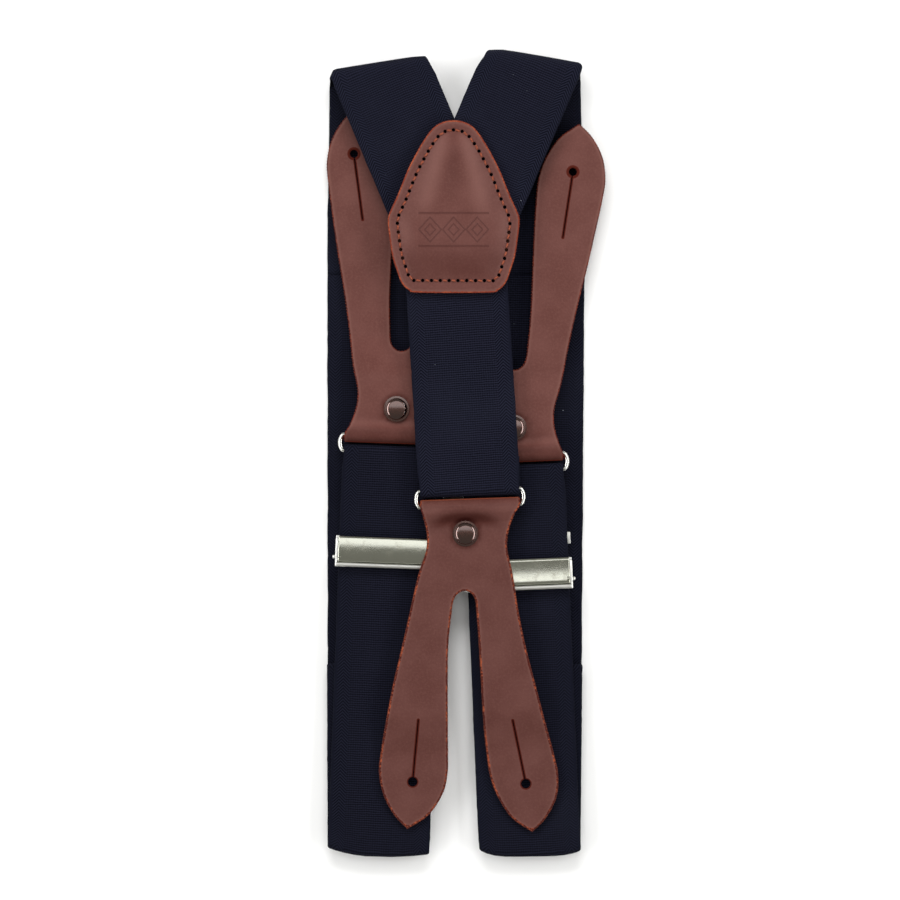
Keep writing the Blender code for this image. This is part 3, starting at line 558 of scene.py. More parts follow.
class Band:
    """A flat band laid out step by step, as rows across it."""

    def __init__(self, start, heading, face, width, spacing=2.0):
        self.point = Vector(start)
        self.heading = Vector(heading).normalized()
        self.face = Vector(face)  # the side of the band that bend() counts as positive
        self.width = width
        self.spacing = spacing
        self.length = 0.0
        self.rows = []
        self.slope = 0.0
        self.add_row(self.across, self.face)

    @property
    def across(self):
        return self.heading.cross(self.face)

    def add_row(self, direction, normal):
        row = Row(self.length, self.point.copy(), direction, self.width, normal.copy(), self.slope)
        self.rows.append(row)

    def run(self, distance, slope=0.0, width=None):
        """Straight on, to a last row with this slope."""
        start, begun, first_width = self.point.copy(), self.length, self.width
        first_slope = self.slope
        width = width or self.width
        steps = max(1, math.ceil(abs(distance) / self.spacing))
        for step in range(1, steps + 1):
            share = step / steps
            self.point = start + self.heading * distance * share
            self.length = begun + distance * share
            self.width = first_width + (width - first_width) * share
            self.slope = first_slope + (slope - first_slope) * share
            self.add_row(self.across + self.heading * self.slope, self.face)

    def run_to_y(self, y, slope=0.0, width=None):
        self.run((y - self.point.y) / self.heading.y, slope, width)

    def bend(self, degrees, radius, skew=0.0, steps=12):
        """Curves towards its face, or away for a negative angle, about a line turned by skew radians."""
        sense, turn = math.copysign(1, degrees), math.radians(abs(degrees))
        face = self.face.copy()
        fold_line = self.heading * math.sin(skew) + self.across * math.cos(skew)
        onward = self.heading * math.cos(skew) - self.across * math.sin(skew)
        start, begun = self.point.copy(), self.length
        self.slope = math.tan(skew)
        for step in range(0 if skew else 1, steps + 1):
            angle = turn * step / steps
            self.point = start + fold_line * (angle * radius * math.tan(skew))
            self.point += onward * radius * math.sin(angle)
            self.point += face * sense * radius * (1 - math.cos(angle))
            self.length = begun + angle * radius / math.cos(skew)
            normal = face * math.cos(angle) - onward * sense * math.sin(angle)
            if step == 0:
                self.rows.pop()
            self.add_row(fold_line / math.cos(skew), normal)
        self.face = face * math.cos(turn) - onward * sense * math.sin(turn)
        turned = onward * math.cos(turn) + face * sense * math.sin(turn)
        self.heading = turned * math.cos(skew) + fold_line * math.sin(skew)

    def skew_square_to(self, direction):
        """The skew of a bend about a line square to direction."""
        return -math.asin(direction.dot(self.across))

    def skew_towards(self, new_heading):
        """The skew of a flat fold that sends the band off along new_heading."""
        return self.skew_square_to((self.heading - new_heading).normalized())

    def change_level(self, z, slope_degrees=20.0, radius=2.5, steps=5):
        """A gentle double bend to height z."""
        rise = z - self.point.z
        turn = math.radians(slope_degrees)
        sense = math.copysign(slope_degrees, rise * self.face.z)
        straight = (abs(rise) - 2 * radius * (1 - math.cos(turn))) / math.sin(turn)
        self.bend(sense, radius, steps=steps)
        self.run(straight)
        self.bend(-sense, radius, steps=steps)

    def cut(self):
        """Takes the rows so far, and goes on from the last of them."""
        rows, self.rows = self.rows, self.rows[-1:]
        return rows

    def at(self, along, offset, height):
        """The point this far along the band, across it and above it."""
        k = bisect_left(self.rows, along, key=lambda row: row.length)
        k = min(max(k, 1), len(self.rows) - 1)
        before, after = self.rows[k - 1], self.rows[k]
        share = (along - before.length) / max(after.length - before.length, 1e-9)
        direction = before.direction.lerp(after.direction, share)
        normal = before.normal.lerp(after.normal, share).normalized()
        return before.middle.lerp(after.middle, share) + direction * offset + normal * height


# ---------------------------------------------------------------- webbing

# Painted shade: the webbing's colour is scaled by the first on its lower layers and by the second on its top
# layers.
LOW_LAYER_PAINTED_SHADE, TOP_LAYER_PAINTED_SHADE = 0.66, 0.84
EDGE_ROUND, EDGE_POWER = 0.8, 2.4  # the webbing thins out this near its edges
# How far inwards from an edge the webbing's outline has its points.
EDGE_STEPS = (0, 0.06, 0.2, 0.45, 0.8, 1.4, 2.6, 5.4, 9.0, 13.0)


def web_section():
    """The webbing's outline cut across, as (share of the half width, height)."""
    half = WEB_WIDTH / 2
    side = []
    for inwards in EDGE_STEPS:
        fullness = 1 - (1 - min(inwards / EDGE_ROUND, 1)) ** EDGE_POWER
        side.append((1 - inwards / half, WEB_THICK / 2 * fullness ** (1 / EDGE_POWER)))
    top = [(-share, height) for share, height in side] + side[::-1]
    return top + [(share, -height) for share, height in reversed(top[1:-1])]


def painted_shade_at(z):
    """Painted shade: how much of the webbing's colour is kept, darkest on its deepest layer and lighter up to
    the back section's.
    """
    return LOW_LAYER_PAINTED_SHADE + (TOP_LAYER_PAINTED_SHADE - LOW_LAYER_PAINTED_SHADE) * smooth(z, FRONT_RUN_Z + 0.6, FRONT_RUN_Z + 1.0)


def web_mesh(rows, phase, shape=None):
    """A closed mesh through rows. shape(point, share) moves its points, with share from -1 to 1 across."""
    section = web_section()
    bm = bmesh.new()
    weave, loops = [], []
    for length, middle, direction, width, normal, slope in rows:
        wander = noise.noise(Vector((phase, length / 11, 0)))
        loop = []
        for share, height in section:
            tremble = 0.12 * noise.noise(Vector((length / 2.3, phase + math.copysign(3, share), 0)))
            offset = share * (width / 2 + tremble) + 0.18 * wander
            point = middle + direction * offset + normal * height
            if shape:
                point = shape(point, share)
            loop.append(bm.verts.new(point))
            weave.append((share * width / 2, length + slope * share * width / 2 + 50 * phase, height))
        loops.append(loop)
    skin(bm, loops)
    # The painted shade of each vertex, by its height, kept as the shade attribute.
    painted_shades = [painted_shade_at(vertex.co.z) for vertex in bm.verts]
    mesh = to_mesh(bm)
    store(mesh, "weave", "FLOAT_VECTOR", weave)
    store(mesh, "shade", "FLOAT", painted_shades)
    return mesh


def bottom_fold_shape(side):
    """The bottom fold is looser at its outer corners, so that its line is a shallow arc."""
    fold_y = low(side + "_strap_rear").y
    lift = {"left": (2.9, 1.2), "right": (2.6, 1.8)}[side]  # of the left and right corner
    power = {"left": 2.2, "right": 4.5}[side]

    def shape(point, share):
        # a front run's across direction points to -X, so share runs from right to left
        corner = lift[0] if share > 0 else lift[1]
        near = 1 - smooth(point.y, fold_y, fold_y + 16)
        return point + Vector((0, corner * abs(share) ** power * near, 0))

    return shape


OUTER_PULL = 0.8  # how far the top fold's outer side is pulled up
REAR_TUCK = {"left": 1.0, "right": 2.0}  # how far the rear run's outer edge is drawn in at the top fold


def top_fold_shape(side):
    """The top fold is pulled up a little on its outer side, and its very corner is blunted."""
    drop, reach = {"left": (4.0, 2.0), "right": (2.0, 1.2)}[side]
    inner_drop = {"left": 0.4, "right": 1.0}[side]
    outwards = -1 if side == "left" else 1
    middle = TOP_FOLD_MIDDLE[side]
    slant = math.tan(math.radians(V_LEAN[side] / 2))

    def shape(point, share):
        offset = point.x - middle.x
        inwards = WEB_FOLD_WIDTH / 2 - offset * outwards
        blunt = max(0, 1 - max(inwards, 0) / reach)
        pull = OUTER_PULL * offset * outwards / (WEB_FOLD_WIDTH / 2)
        pull -= inner_drop * max(0, 1 - (WEB_FOLD_WIDTH - inwards) / 6) ** 1.5
        near = smooth(point.y, middle.y + offset * slant - 9, middle.y + offset * slant)
        tuck = REAR_TUCK[side] * max(offset * outwards, 0) / (WEB_FOLD_WIDTH / 2)
        tuck *= smooth(point.y, SPLIT_Y, middle.y) * smooth(point.z, V_RUN_Z[side], V_RUN_Z[side] - 5)
        return point + Vector((-outwards * tuck, (pull - drop * blunt) * near, 0))

    return shape


def slope_for_level_row(band):
    """The slope of a row that runs along X."""
    return -band.across.y / band.heading.y


def webbing_piece(name, rows, phase, body, nodes, shape=None):
    return new_piece(name + "_webbing", web_mesh(rows, phase, shape), WEBBING, body, nodes)


def front_webbing(side):
    ring = side + "_front"
    onward = page_direction(FRONT_LEAN[side])
    bar = strap_bar(ring)
    web = Band(bar - onward * LOOP_RUN - UP * WEB_WRAP_R, onward, -UP, WEB_LOOP_WIDTH)
    web.run(LOOP_RUN)
    web.bend(-180, WEB_WRAP_R)
    web.run(LOOP_RUN)
    web.run(5.0, width=WEB_WIDTH)
    fold_r = (FRONT_RUN_Z - FLOOR_RUN_Z) / 2 - LAYER
    fold_y = low(side + "_strap_rear").y + fold_r + WEB_THICK / 2
    fold_middle = web.point + web.heading * ((fold_y - web.point.y) / web.heading.y)
    rise = TOP_FOLD_MIDDLE[side] - at_height(fold_middle, 0)
    v_heading = -page_direction(-V_LEAN[side])
    top_r = (V_RUN_Z[side] - FLOOR_RUN_Z) / 2
    fold_skew = web.skew_towards(rise.normalized())
    web.run_to_y(fold_y, slope=math.tan(fold_skew))
    web.bend(-180, fold_r, skew=fold_skew)
    top_square = (web.heading - v_heading).normalized()
    top_start = TOP_FOLD_MIDDLE[side] - top_square * (top_r + WEB_THICK / 2)
    web.run_to_y(SPARE_Y[1])
    web.bend(180, LAYER / 2, steps=8)
    web.run_to_y(SPARE_Y[0])
    web.bend(-180, LAYER / 2, steps=8)
    web.run_to_y(SPLIT_Y, width=WEB_FOLD_WIDTH)
    rows = web.cut()
    nodes = [side + "_strap_front", side + "_strap_rear"]
    piece = webbing_piece(side + "_front", rows, PHASE[side], "root", nodes, bottom_fold_shape(side))

    top_skew = web.skew_towards(v_heading)
    web.run_to_y(top_start.y, slope=math.tan(top_skew))
    web.bend(-180, top_r, skew=top_skew, steps=20)
    web.run_to_y(V_END_Y, slope_for_level_row(web))
    rows = web.cut()
    nodes = [side + "_strap_upper"]
    piece = webbing_piece(side + "_shoulder", rows, PHASE[side], None, nodes, top_fold_shape(side))
    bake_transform(piece)


def return_webbing(side):
    """From the ring's back down to the loop round the anchor bar."""
    onward = page_direction(FRONT_LEAN[side])
    start = strap_bar(side + "_front") - onward * LOOP_RUN - UP * WEB_WRAP_R
    anchor = adjuster_middle(side) + onward * (ANCHOR_V[0] + SHEET / 2)
    web = Band(start, -onward, UP, WEB_LOOP_WIDTH)
    web.run(LOOP_RUN)
    web.change_level(RETURN_Z, slope_degrees=8.0)
    web.run_to_y(anchor.y, width=ANCHOR_LOOP_WIDTH)
    web.bend(180, ANCHOR_LOOP_R)
    web.run(9.0)
    rows = web.cut()
    piece = webbing_piece(side + "_return", rows, PHASE["return"], None, [side + "_strap_return"])
    at_height(anchor, start.z) * MM
    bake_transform(piece)


def back_webbing():
    heading = page_direction(180 - BACK_LEAN)
    bar = strap_bar("back")
    top_y = V_END_Y - 0.7
    start = at_height(bar - heading * ((top_y - bar.y) / -heading.y), V_RUN_Z["right"])
    web = Band(start, heading, UP, WEB_WIDTH)
    web.run_to_y(BACK_DESCENT_Y)
    web.change_level(bar.z + WEB_WRAP_R, slope_degrees=6.0)
    web.run_to_y(bar.y + 7)
    web.run(4.5, width=WEB_LOOP_WIDTH)
    web.run_to_y(bar.y)
    web.bend(-180, WEB_WRAP_R, skew=web.skew_square_to(ring_frame("back")[1]))
    web.run(2.5)
    web.change_level(V_RUN_Z["right"] - WEB_THICK / 2, slope_degrees=14.0)
    web.run(BACK_TAIL)
    rows = web.cut()
    piece = webbing_piece("back", rows, PHASE["back"], "back_section", ["back_strap"])


# ---------------------------------------------------------------- leather


def rounded(points, corners=(), steps=6):
    """A closed outline through points, round everywhere but at the listed corners (Catmull-Rom)."""
    outline, count = [], len(points)
    for i in range(count):
        before, start, end, after = (points[(i + k) % count] for k in (-1, 0, 1, 2))
        before = start if i in corners else before
        after = end if (i + 1) % count in corners else after
        for step in range(steps):
            t = step / steps
            point = 2 * start + (end - before) * t
            point += (2 * before - 5 * start + 4 * end - after) * t**2
            point += (3 * start - before - 3 * end + after) * t**3
            outline.append(point / 2)
    return outline


def circle(centre, radius, sides=16):
    turns = [math.tau * k / sides for k in range(sides)]
    return [centre + Vector((math.cos(turn), math.sin(turn))) * radius for turn in turns]


def spaced(outline, pitch):
    """Points at an even pitch along a closed outline, with the direction out of it at each."""
    found, walked = [], 0.0
    for here, after in zip(outline, outline[1:] + outline[:1]):
        step = after - here
        along = step.normalized()
        while walked < step.length:
            found.append((here + along * walked, Vector((-along.y, along.x))))
            walked += pitch
        walked -= step.length
    return found


def cut_sheet(outlines, thickness, edge_radius, grid):
    """The bmesh of a flat sheet with rounded edges and holes, cut up finely enough to be bent."""
    curve = bpy.data.curves.new("guide", "CURVE")
    curve.dimensions = "2D"
    curve.fill_mode = "BOTH"
    curve.bevel_depth = edge_radius
    curve.bevel_resolution = 2
    curve.extrude = thickness / 2 - edge_radius
    curve.offset = -edge_radius
    for outline in outlines:
        spline = curve.splines.new("POLY")
        spline.points.add(len(outline) - 1)
        for point, (x, y) in zip(spline.points, outline):
            point.co = (x, y, 0, 1)
        spline.use_cyclic_u = True
    guide = place_in_scene("guide", curve)
    graph = bpy.context.evaluated_depsgraph_get()
    bm = bmesh.new()
    bm.from_mesh(bpy.data.meshes.new_from_object(guide.evaluated_get(graph)))
    bpy.data.objects.remove(guide)
    bmesh.ops.remove_doubles(bm, verts=bm.verts, dist=1e-4)
    for axis in (0, 1):
        values = [vertex.co[axis] for vertex in bm.verts]
        place = min(values) + grid
        normal = Vector((1, 0, 0)) if axis == 0 else Vector((0, 1, 0))
        while place < max(values):
            everything = bm.verts[:] + bm.edges[:] + bm.faces[:]
            bmesh.ops.bisect_plane(bm, geom=everything, dist=1e-4, plane_co=normal * place, plane_no=normal)
            place += grid
    return bm


def edge_distances(bm, outline):
    """How far each vertex is from the outline."""
    points = [point for point, _ in spaced(outline, 0.25)]
    tree = KDTree(len(points))
    for k, point in enumerate(points):
        tree.insert(point.to_3d(), k)
    tree.balance()
    return [tree.find(Vector((v.co.x, v.co.y, 0)))[2] for v in bm.verts]


def leather_mesh(outlines, thickness, bend, edge_radius=0.4, grid=1.5, painted_shading=None):
    """A leather sheet with holes, bent by bend(x, y, height, distance from its outer edge).

    The shading function, given (x, y, distance), is above 0 where painted light makes the leather lighter
    than usual, and below 0 where painted shade makes it darker.
    """
    bm = cut_sheet(outlines, thickness, edge_radius, grid)
    hide = [vertex.co.copy() for vertex in bm.verts]
    edge = edge_distances(bm, outlines[0])
    for vertex, distance in zip(bm.verts, edge):
        vertex.co = bend(vertex.co.x, vertex.co.y, vertex.co.z, distance)
    mesh = to_mesh(bm)
    store(mesh, "hide", "FLOAT_VECTOR", hide)
    store(mesh, "edge", "FLOAT", edge)
    # Painted light and shade for each vertex, when a shading function is given.
    if painted_shading:
        store(mesh, "painted_shading", "FLOAT", [painted_shading(p.x, p.y, distance) for p, distance in zip(hide, edge)])
    return mesh


def fray(outline, bend, per_mm, longest, where=lambda point: True):
    """Short loose fibres standing out of a cut edge."""
    bm = bmesh.new()
    for point, out in spaced(outline, 1 / per_mm):
        if not where(point):
            continue
        side = Vector((-out.y, out.x))
        reach = (out + side * random.uniform(-1.1, 1.1)).normalized() * longest * random.uniform(0.25, 1)
        base_z = random.uniform(-0.2, 0.85)
        root = point - out * 0.15
        corners = [
            bend(root.x, root.y, base_z, 0),
            bend(root.x + side.x * 0.3, root.y + side.y * 0.3, base_z, 0),
            bend(root.x, root.y, base_z - 0.2, 0),
        ]
        tip = bend(point.x + reach.x, point.y + reach.y, base_z + random.uniform(-0.3, 0.15), 0)
        made = [bm.verts.new(corner) for corner in (*corners, tip)]
        for a, b, c in ((0, 1, 3), (1, 2, 3), (2, 0, 3), (0, 2, 1)):
            bm.faces.new((made[a], made[b], made[c]))
    return to_mesh(bm)


PATCH_HALF = (
    (0, 58.4), (3.4, 57.9), (6.4, 56.3), (9.0, 53.3), (12.0, 48.5), (15.6, 41.5), (19.0, 33.1),
    (21.9, 26.6), (22.3, 23.7), (21.8, 19.0), (20.8, 12.4), (19.3, 7.6), (17.7, 3.4), (15.2, 0.9),
    (11.5, 0.0),
)  # fmt: skip
STITCH_INSET, STITCH_BOTTOM_INSET, STITCH_PITCH = 3.2, 4.0, 2.98
STITCH_HOLE_R, THREAD_R = 0.6, 0.34
STITCH_SLANT = 0.3
# The points of a stitch, as (share of the way from hole to hole, height over the leather).
STITCH = ((0.28, -1.05), (0.30, -0.3), (0.36, 0.135), (0.5, 0.21), (0.64, 0.135), (0.70, -0.3), (0.72, -1.05))


def patch_outline():
    right = [Vector(p) for p in PATCH_HALF]
    left = [Vector((-x, y)) for x, y in reversed(PATCH_HALF[1:])]
    place = Vector((PATCH_MIDDLE.x, PATCH_BOTTOM.y))
    return [point + place for point in rounded(right + left)]


def stitch_line(outline):
    """The outline moved inwards by the stitches' inset, without the loops this makes at tight corners."""
    line = [point - out * STITCH_INSET for point, out in spaced(outline, 0.5)]
    lowest = PATCH_BOTTOM.y + STITCH_BOTTOM_INSET
    return [p for p in line if p.y > lowest and min((p - q).length for q in outline) > STITCH_INSET * 0.97]


def patch_rise(x, y, distance):
    """The patch bulges over the crossing straps, and is drawn down along its seam."""
    bulge = 0.85 * smooth(distance, 3.4, 10.0)
    seam = -0.28 * bell(distance, STITCH_INSET, 0.9)
    lumps = 0.18 * noise.noise(Vector((x / 9, y / 9, 2.0))) * smooth(distance, 3, 8)
    across = abs(x - PATCH_MIDDLE.x)
    ridge = 0.22 * bell(across, 6.5, 4.5) * smooth(y - PATCH_BOTTOM.y, 24, 42)
    return bulge + seam + lumps + ridge * smooth(distance, 3, 7)


def patch_painted_shading(x, y, distance):
    """Painted light and shade for the patch's relief: lighter on the two flanks, darker at the top between
    them and in a band low down.
    """
    u, v = abs(x - PATCH_MIDDLE.x), y - PATCH_BOTTOM.y
    flank = 0.42 * bell(u, 4.5 + 0.25 * (50 - v), 3.0) * smooth(v, 20, 34)
    top = -0.16 * bell(u, 0, 3.6) * smooth(v, 30, 44)
    low_band = -0.26 * bell(v, 10, 5.5)
    lower_flank = 0.28 * bell(u, 17.5, 3.0) * bell(v, 20, 8.0)
    return (flank + top + low_band + lower_flank) * smooth(distance, 3, 5)


def backing_painted_hole_shade(x, y, distance):
    """Painted shade: the backing is dark along the stitch line where the stitches go into it, so that the
    stitch holes look dark.
    """
    return -0.95 * math.exp(-(((distance - STITCH_INSET) / 1.2) ** 4))


def patch():
    outline = patch_outline()
    line = stitch_line(outline)
    round_it = sum((b - a).length for a, b in zip(line, line[1:] + line[:1]))
    count = round(round_it / STITCH_PITCH)
    holes = [point for point, _ in spaced(line, round_it / count)][:count]

    def front(x, y, height, distance):
        return Vector((x, y, PATCH_FRONT_Z + height + patch_rise(x, y, distance)))

    def back(x, y, height, distance):
        return Vector((x, y, PATCH_BACK_Z - height))

    outlines = [outline] + [circle(point, STITCH_HOLE_R, 10) for point in holes]
    mesh = leather_mesh(outlines, LEATHER, front, edge_radius=0.15, grid=1.2, painted_shading=patch_painted_shading)
    new_piece("patch_front_leather", mesh, PATCH_LEATHER, "back_section", ["patch_front"])
    mesh = leather_mesh([outline], BACKING, back, edge_radius=0.3, grid=1.5, painted_shading=backing_painted_hole_shade)
    new_piece("patch_back_leather", mesh, BACKING_LEATHER, "back_section", ["patch_back"])
    mesh = fray(outline, front, 1.6, 0.45)
    new_piece("patch_fray", mesh, RAW_FIBRE, "back_section", [])

    top = PATCH_FRONT_Z + LEATHER / 2 + patch_rise(0, 0, STITCH_INSET)
    lines = []
    for start, end in zip(holes, holes[1:] + holes[:1]):
        step = (end - start).normalized()
        aside = Vector((-step.y, step.x)) * STITCH_SLANT
        line = []
        for share, height in STITCH:
            point = start.lerp(end, share) + aside * (1 - 2 * share)
            line.append(Vector((point.x, point.y, top + height)))
        lines.append(line)
    nodes = ["patch_thread"]
    wire_object("patch_stitches", lines, THREAD_R, RUST_THREAD, "back_section", nodes)


# Half of the tab laid flat. u is across from its middle line, and v along it from the ring's middle.
TAB_OUTER = (
    (15.4, 6.0), (14.1, 10.2), (13.5, 14.3), (13.9, 18.7), (16.0, 26.2), (18.6, 39.8), (21.3, 52.0),
    (24.1, 63.3), (26.8, 75.2), (29.4, 87.4), (30.3, 94.2), (29.2, 101.5), (25.7, 108.2),
)  # fmt: skip
TAB_TIP = (21.2, 112.9)
TAB_INNER = (
    (14.2, 108.2), (9.4, 101.0), (7.3, 94.2), (6.6, 86.0), (6.1, 75.2), (5.4, 52.0), (4.5, 40.5),
    (3.4, 33.6),
)  # fmt: skip
TAB_CROTCH = (0.0, 31.3)
TONGUE_HALF = ((13.6, 4.6), (8.4, 8.0), (6.6, 13.0), (5.6, 17.0))
TONGUE_END = (0.0, 18.6)
TONGUE_LENGTH, TONGUE_STEP = 19.4, 3.4  # from the leather bar, and where it steps down to lie flat
BUTTONHOLES = {  # the hole and the end of its slit
    "left_front": ((21.3, 96.9), (16.6, 75.0)),
    "right_front": ((19.2, 96.9), (16.0, 75.0)),
    "back": ((19.2, 96.9), (16.0, 75.0)),
}
PAST_PRONGS = 130  # further than any prong reaches, with room for loose fibres
BUTTON_V = 100.0  # the prongs bow sideways between the ring and here
BUTTON_HOLE_R = {"left_front": 1.35, "right_front": 1.35, "back": 1.6}
PRESSED_R = {"left_front": 2.25, "right_front": 2.25, "back": 1.95}  # of the dark ring round the hole
SLIT_HALF = 0.14


def saddle(u, v):
    """1 along the dip between the ring and the rivet, which curves round the rivet."""
    return math.exp(-(((v - 6.6 - 0.018 * u * u) / 2.3) ** 2) - (u / 11.5) ** 4)


def tab_lay(name, u, v):
    """Where a point of the flat tab lies beyond its ring, as (across, onward) from the ring's middle."""
    bow = TAB_BOW[name] * math.sin(math.pi * min(v / BUTTON_V, 1))
    shear = TAB_SHEAR[name] * u * v / TAB_TIP[1]
    lean = math.tan(math.radians(TAB_LEAN[name]))
    return Vector((u + v * lean + bow, v * TAB_STRETCH[name] + shear))


def keyhole(centre, slit_end, radius):
    """A round hole with a slit, as one outline."""
    towards = (slit_end - centre).normalized()
    across = Vector((-towards.y, towards.x))
    first = math.asin(SLIT_HALF / radius)
    sides = 24
    outline = []
    for k in range(sides + 1):
        angle = first + (math.tau - 2 * first) * k / sides
        spoke = towards * math.cos(angle) + across * math.sin(angle)
        outline.append(centre + spoke * radius)
    return outline + [slit_end - across * SLIT_HALF, slit_end + across * SLIT_HALF]


def tab_band(name):
    """The tab's fold: in from the tongue's end, round the leather bar and out to the prongs."""
    middle, onward = ring_frame(name)
    bar = leather_bar(name)
    leather = Band(bar + onward * TONGUE_LENGTH - UP * TONGUE_DROP, -onward, -UP, 1.0)
    leather.run(TONGUE_LENGTH - TONGUE_STEP)
    leather.change_level(middle.z - LEATHER_WRAP_R)
    leather.point = bar - UP * LEATHER_WRAP_R
    leather.bend(-180, LEATHER_WRAP_R, steps=16)
    top = leather.length
    leather.run(1.6)
    leather.change_level(middle.z + FACE_RISE, slope_degrees=13.0)
    leather.run(DROOP_V[name] - BAR_SPACING / 2 - (leather.length - top))
    leather.change_level(PRONG_Z[name], *DROOP[name])
    leather.run(PAST_PRONGS)
    return leather, top


def tab(name):
    leather, top = tab_band(name)
    wrap = math.pi * LEATHER_WRAP_R
    lean = math.tan(math.radians(TAB_LEAN[name]))
    half_bars = BAR_SPACING / 2

    def face(u, v):
        return tab_lay(name, u, v) + Vector((0, top - half_bars))

    def back(u, v):
        return Vector((u, top - wrap - v + half_bars))

    def both_sides(points, place):
        return [place(u, v) for u, v in points], [place(-u, v) for u, v in reversed(points)]

    right_outer, left_outer = both_sides(TAB_OUTER, face)
    right_inner, left_inner = both_sides(TAB_INNER, face)
    right_tongue, left_tongue = both_sides(TONGUE_HALF, back)
    loop = [Vector((TAB_LOOP_HALF_WIDTH, top - wrap * share)) for share in (1, 0.5, 0)]
    points = loop + right_outer + [face(*TAB_TIP)] + right_inner + [face(*TAB_CROTCH)]
    first_tip = len(loop) + len(right_outer)
    points += left_inner + [face(-TAB_TIP[0], TAB_TIP[1])] + left_outer
    second_tip = len(points) - len(left_outer) - 1
    points += [Vector((-p.x, p.y)) for p in reversed(loop)]
    first_heel = len(points) - 1
    points += left_tongue[::-1] + [back(*TONGUE_END)] + right_tongue[::-1]
    edge = rounded(points, (0, first_tip, second_tip, first_heel))

    rivet_place = Vector((RIVET_V * lean + RIVET_SHIFT[name], top + RIVET_V - half_bars))
    holes = [[face(side * u, v) for u, v in BUTTONHOLES[name]] for side in (1, -1)]

    def bend(x, y, height, distance):
        away = (Vector((x, y)) - rivet_place).length
        dent = -0.28 * bell(away, 0, 5.2)
        dent -= 0.60 * saddle(x - rivet_place.x, y - top + half_bars)
        lumps = 0.16 * noise.noise(Vector((x / 12, y / 12, len(name)))) * smooth(distance, 0.5, 4)
        return leather.at(y, x, height + (dent + lumps if y > top else 0))

    def painted_shading(x, y, distance):
        """Painted shadow round the rivet. The back tab, whose roll faces the light, has a painted highlight
        there and painted shade in the dip beside the rivet; the front tabs have painted shade on the roll, a
        painted highlight on the crest and faint painted shade in the dip.
        """
        away = (Vector((x, y)) - rivet_place).length
        # Painted shadow round the rivet's cap.
        halo = -0.42 * bell(away, 4.7, 0.9)
        dip = saddle(x - rivet_place.x, y - top + half_bars)
        if name == "back":
            # Painted highlight on the roll and painted shade in the dip.
            bulge = 0.12 * bell(y, top, 1.8)
            return halo + bulge - 0.72 * dip if y > top else 0
        # Painted shade on the roll round the bar, a painted highlight on the crest beyond it, and faint
        # painted shade in the dip.
        roll = -0.34 * bell(max(y, top), top, 2.6)
        crest = 0.22 * bell(y, top + 3.6, 1.3)
        return halo + roll + crest - 0.06 * dip

    width, shade, light_raw = (0.65, 0.90, ORANGE_RAW) if name == "back" else (0.4, 1.03, RUST_RAW)
    raw, ring_r, fold_y = (DARK_RAW, light_raw), PRESSED_R[name], top - wrap / 2
    look = leather_look(name + "_leather", width, raw, shade, holes, ring_r, fold_y=fold_y)
    body = name + "_tab_body"
    cuts = [keyhole(*ends, BUTTON_HOLE_R[name]) for ends in holes]
    mesh = leather_mesh([edge] + cuts, LEATHER, bend, painted_shading=painted_shading)
    new_piece(name + "_tab_leather", mesh, look, body, [name + "_tab"])
    per_mm, longest = (2.6, 0.9) if name == "back" else (1.0, 0.35)
    mesh = fray(edge, bend, per_mm, longest, where=lambda point: point.y > top + 3)
    new_piece(name + "_tab_fray", mesh, RAW_FIBRE, body, [])


# ---------------------------------------------------------------- metal


def ring(name):
    """A wire loop: two straight bars and two bowed ends."""
    middle, onward = ring_frame(name)
    across = onward.cross(UP)
    half = BAR_SPACING / 2
    bow_r = half**2 / (2 * RING_END_BOW) + RING_END_BOW / 2
    spread = math.asin(half / bow_r)
    points = []
    for side in (1, -1):
        for k in range(9):
            angle = spread * (k / 4 - 1)
            reach = BAR_HALF + bow_r * (math.cos(angle) - math.cos(spread))
            points.append(middle + (across * reach + onward * bow_r * math.sin(angle)) * side)
    nodes, body = [name + "_ring"], name + "_ring_body"
    wire_object(name + "_ring_wire", [points], WIRE / 2, NICKEL, body, nodes, closed=True)


def turned_mesh(profile, place, sides=56):
    """A round mesh from a profile of (radius, height), from the top of its axis down and round."""
    bm = bmesh.new()
    corners = [bm.verts.new((radius, 0, height)) for radius, height in profile]
    edges = [bm.edges.new(pair) for pair in zip(corners, corners[1:])]
    bmesh.ops.spin(
        bm, geom=corners + edges, axis=UP, cent=(0, 0, 0), angle=math.tau, steps=sides, use_merge=True
    )
    bmesh.ops.remove_doubles(bm, verts=bm.verts, dist=1e-4)
    bmesh.ops.translate(bm, vec=place, verts=bm.verts)
    return to_mesh(bm, sharp_degrees=60)


CAP_PROFILE = (
    (0, 1.0), (2.4, 0.99), (2.7, 0.94), (3.0, 0.84), (3.25, 0.70), (3.45, 0.54), (3.6, 0.36),
    (3.7, 0.15), (3.72, 0.0), (4.35, -0.02), (4.35, -0.3), (0, -0.3),
)  # fmt: skip
HEAD_PROFILE = ((0, 0.6), (3.9, 0.6), (4.2, 0.4), (4.2, 0.2), (3.9, 0.0), (0, 0.0))


def rivet(name):
    body = name + "_tab_body"
    cap = middle_of(name + "_rivet_cap")
    cap.z = low(name + "_rivet_cap").z - 0.15
    mesh = turned_mesh(CAP_PROFILE, cap)
    new_piece(name + "_rivet_dome", mesh, BRONZE, body, [name + "_rivet_cap"])
    post = middle_of(name + "_rivet_post")
    post.z = low(name + "_rivet_post").z
    shank = ((0, cap.z - post.z), (1.25, cap.z - post.z), (1.25, 0.6))
    mesh = turned_mesh(shank + HEAD_PROFILE[1:], post, sides=32)
    new_piece(name + "_rivet_shank", mesh, BRONZE, body, [name + "_rivet_post"])


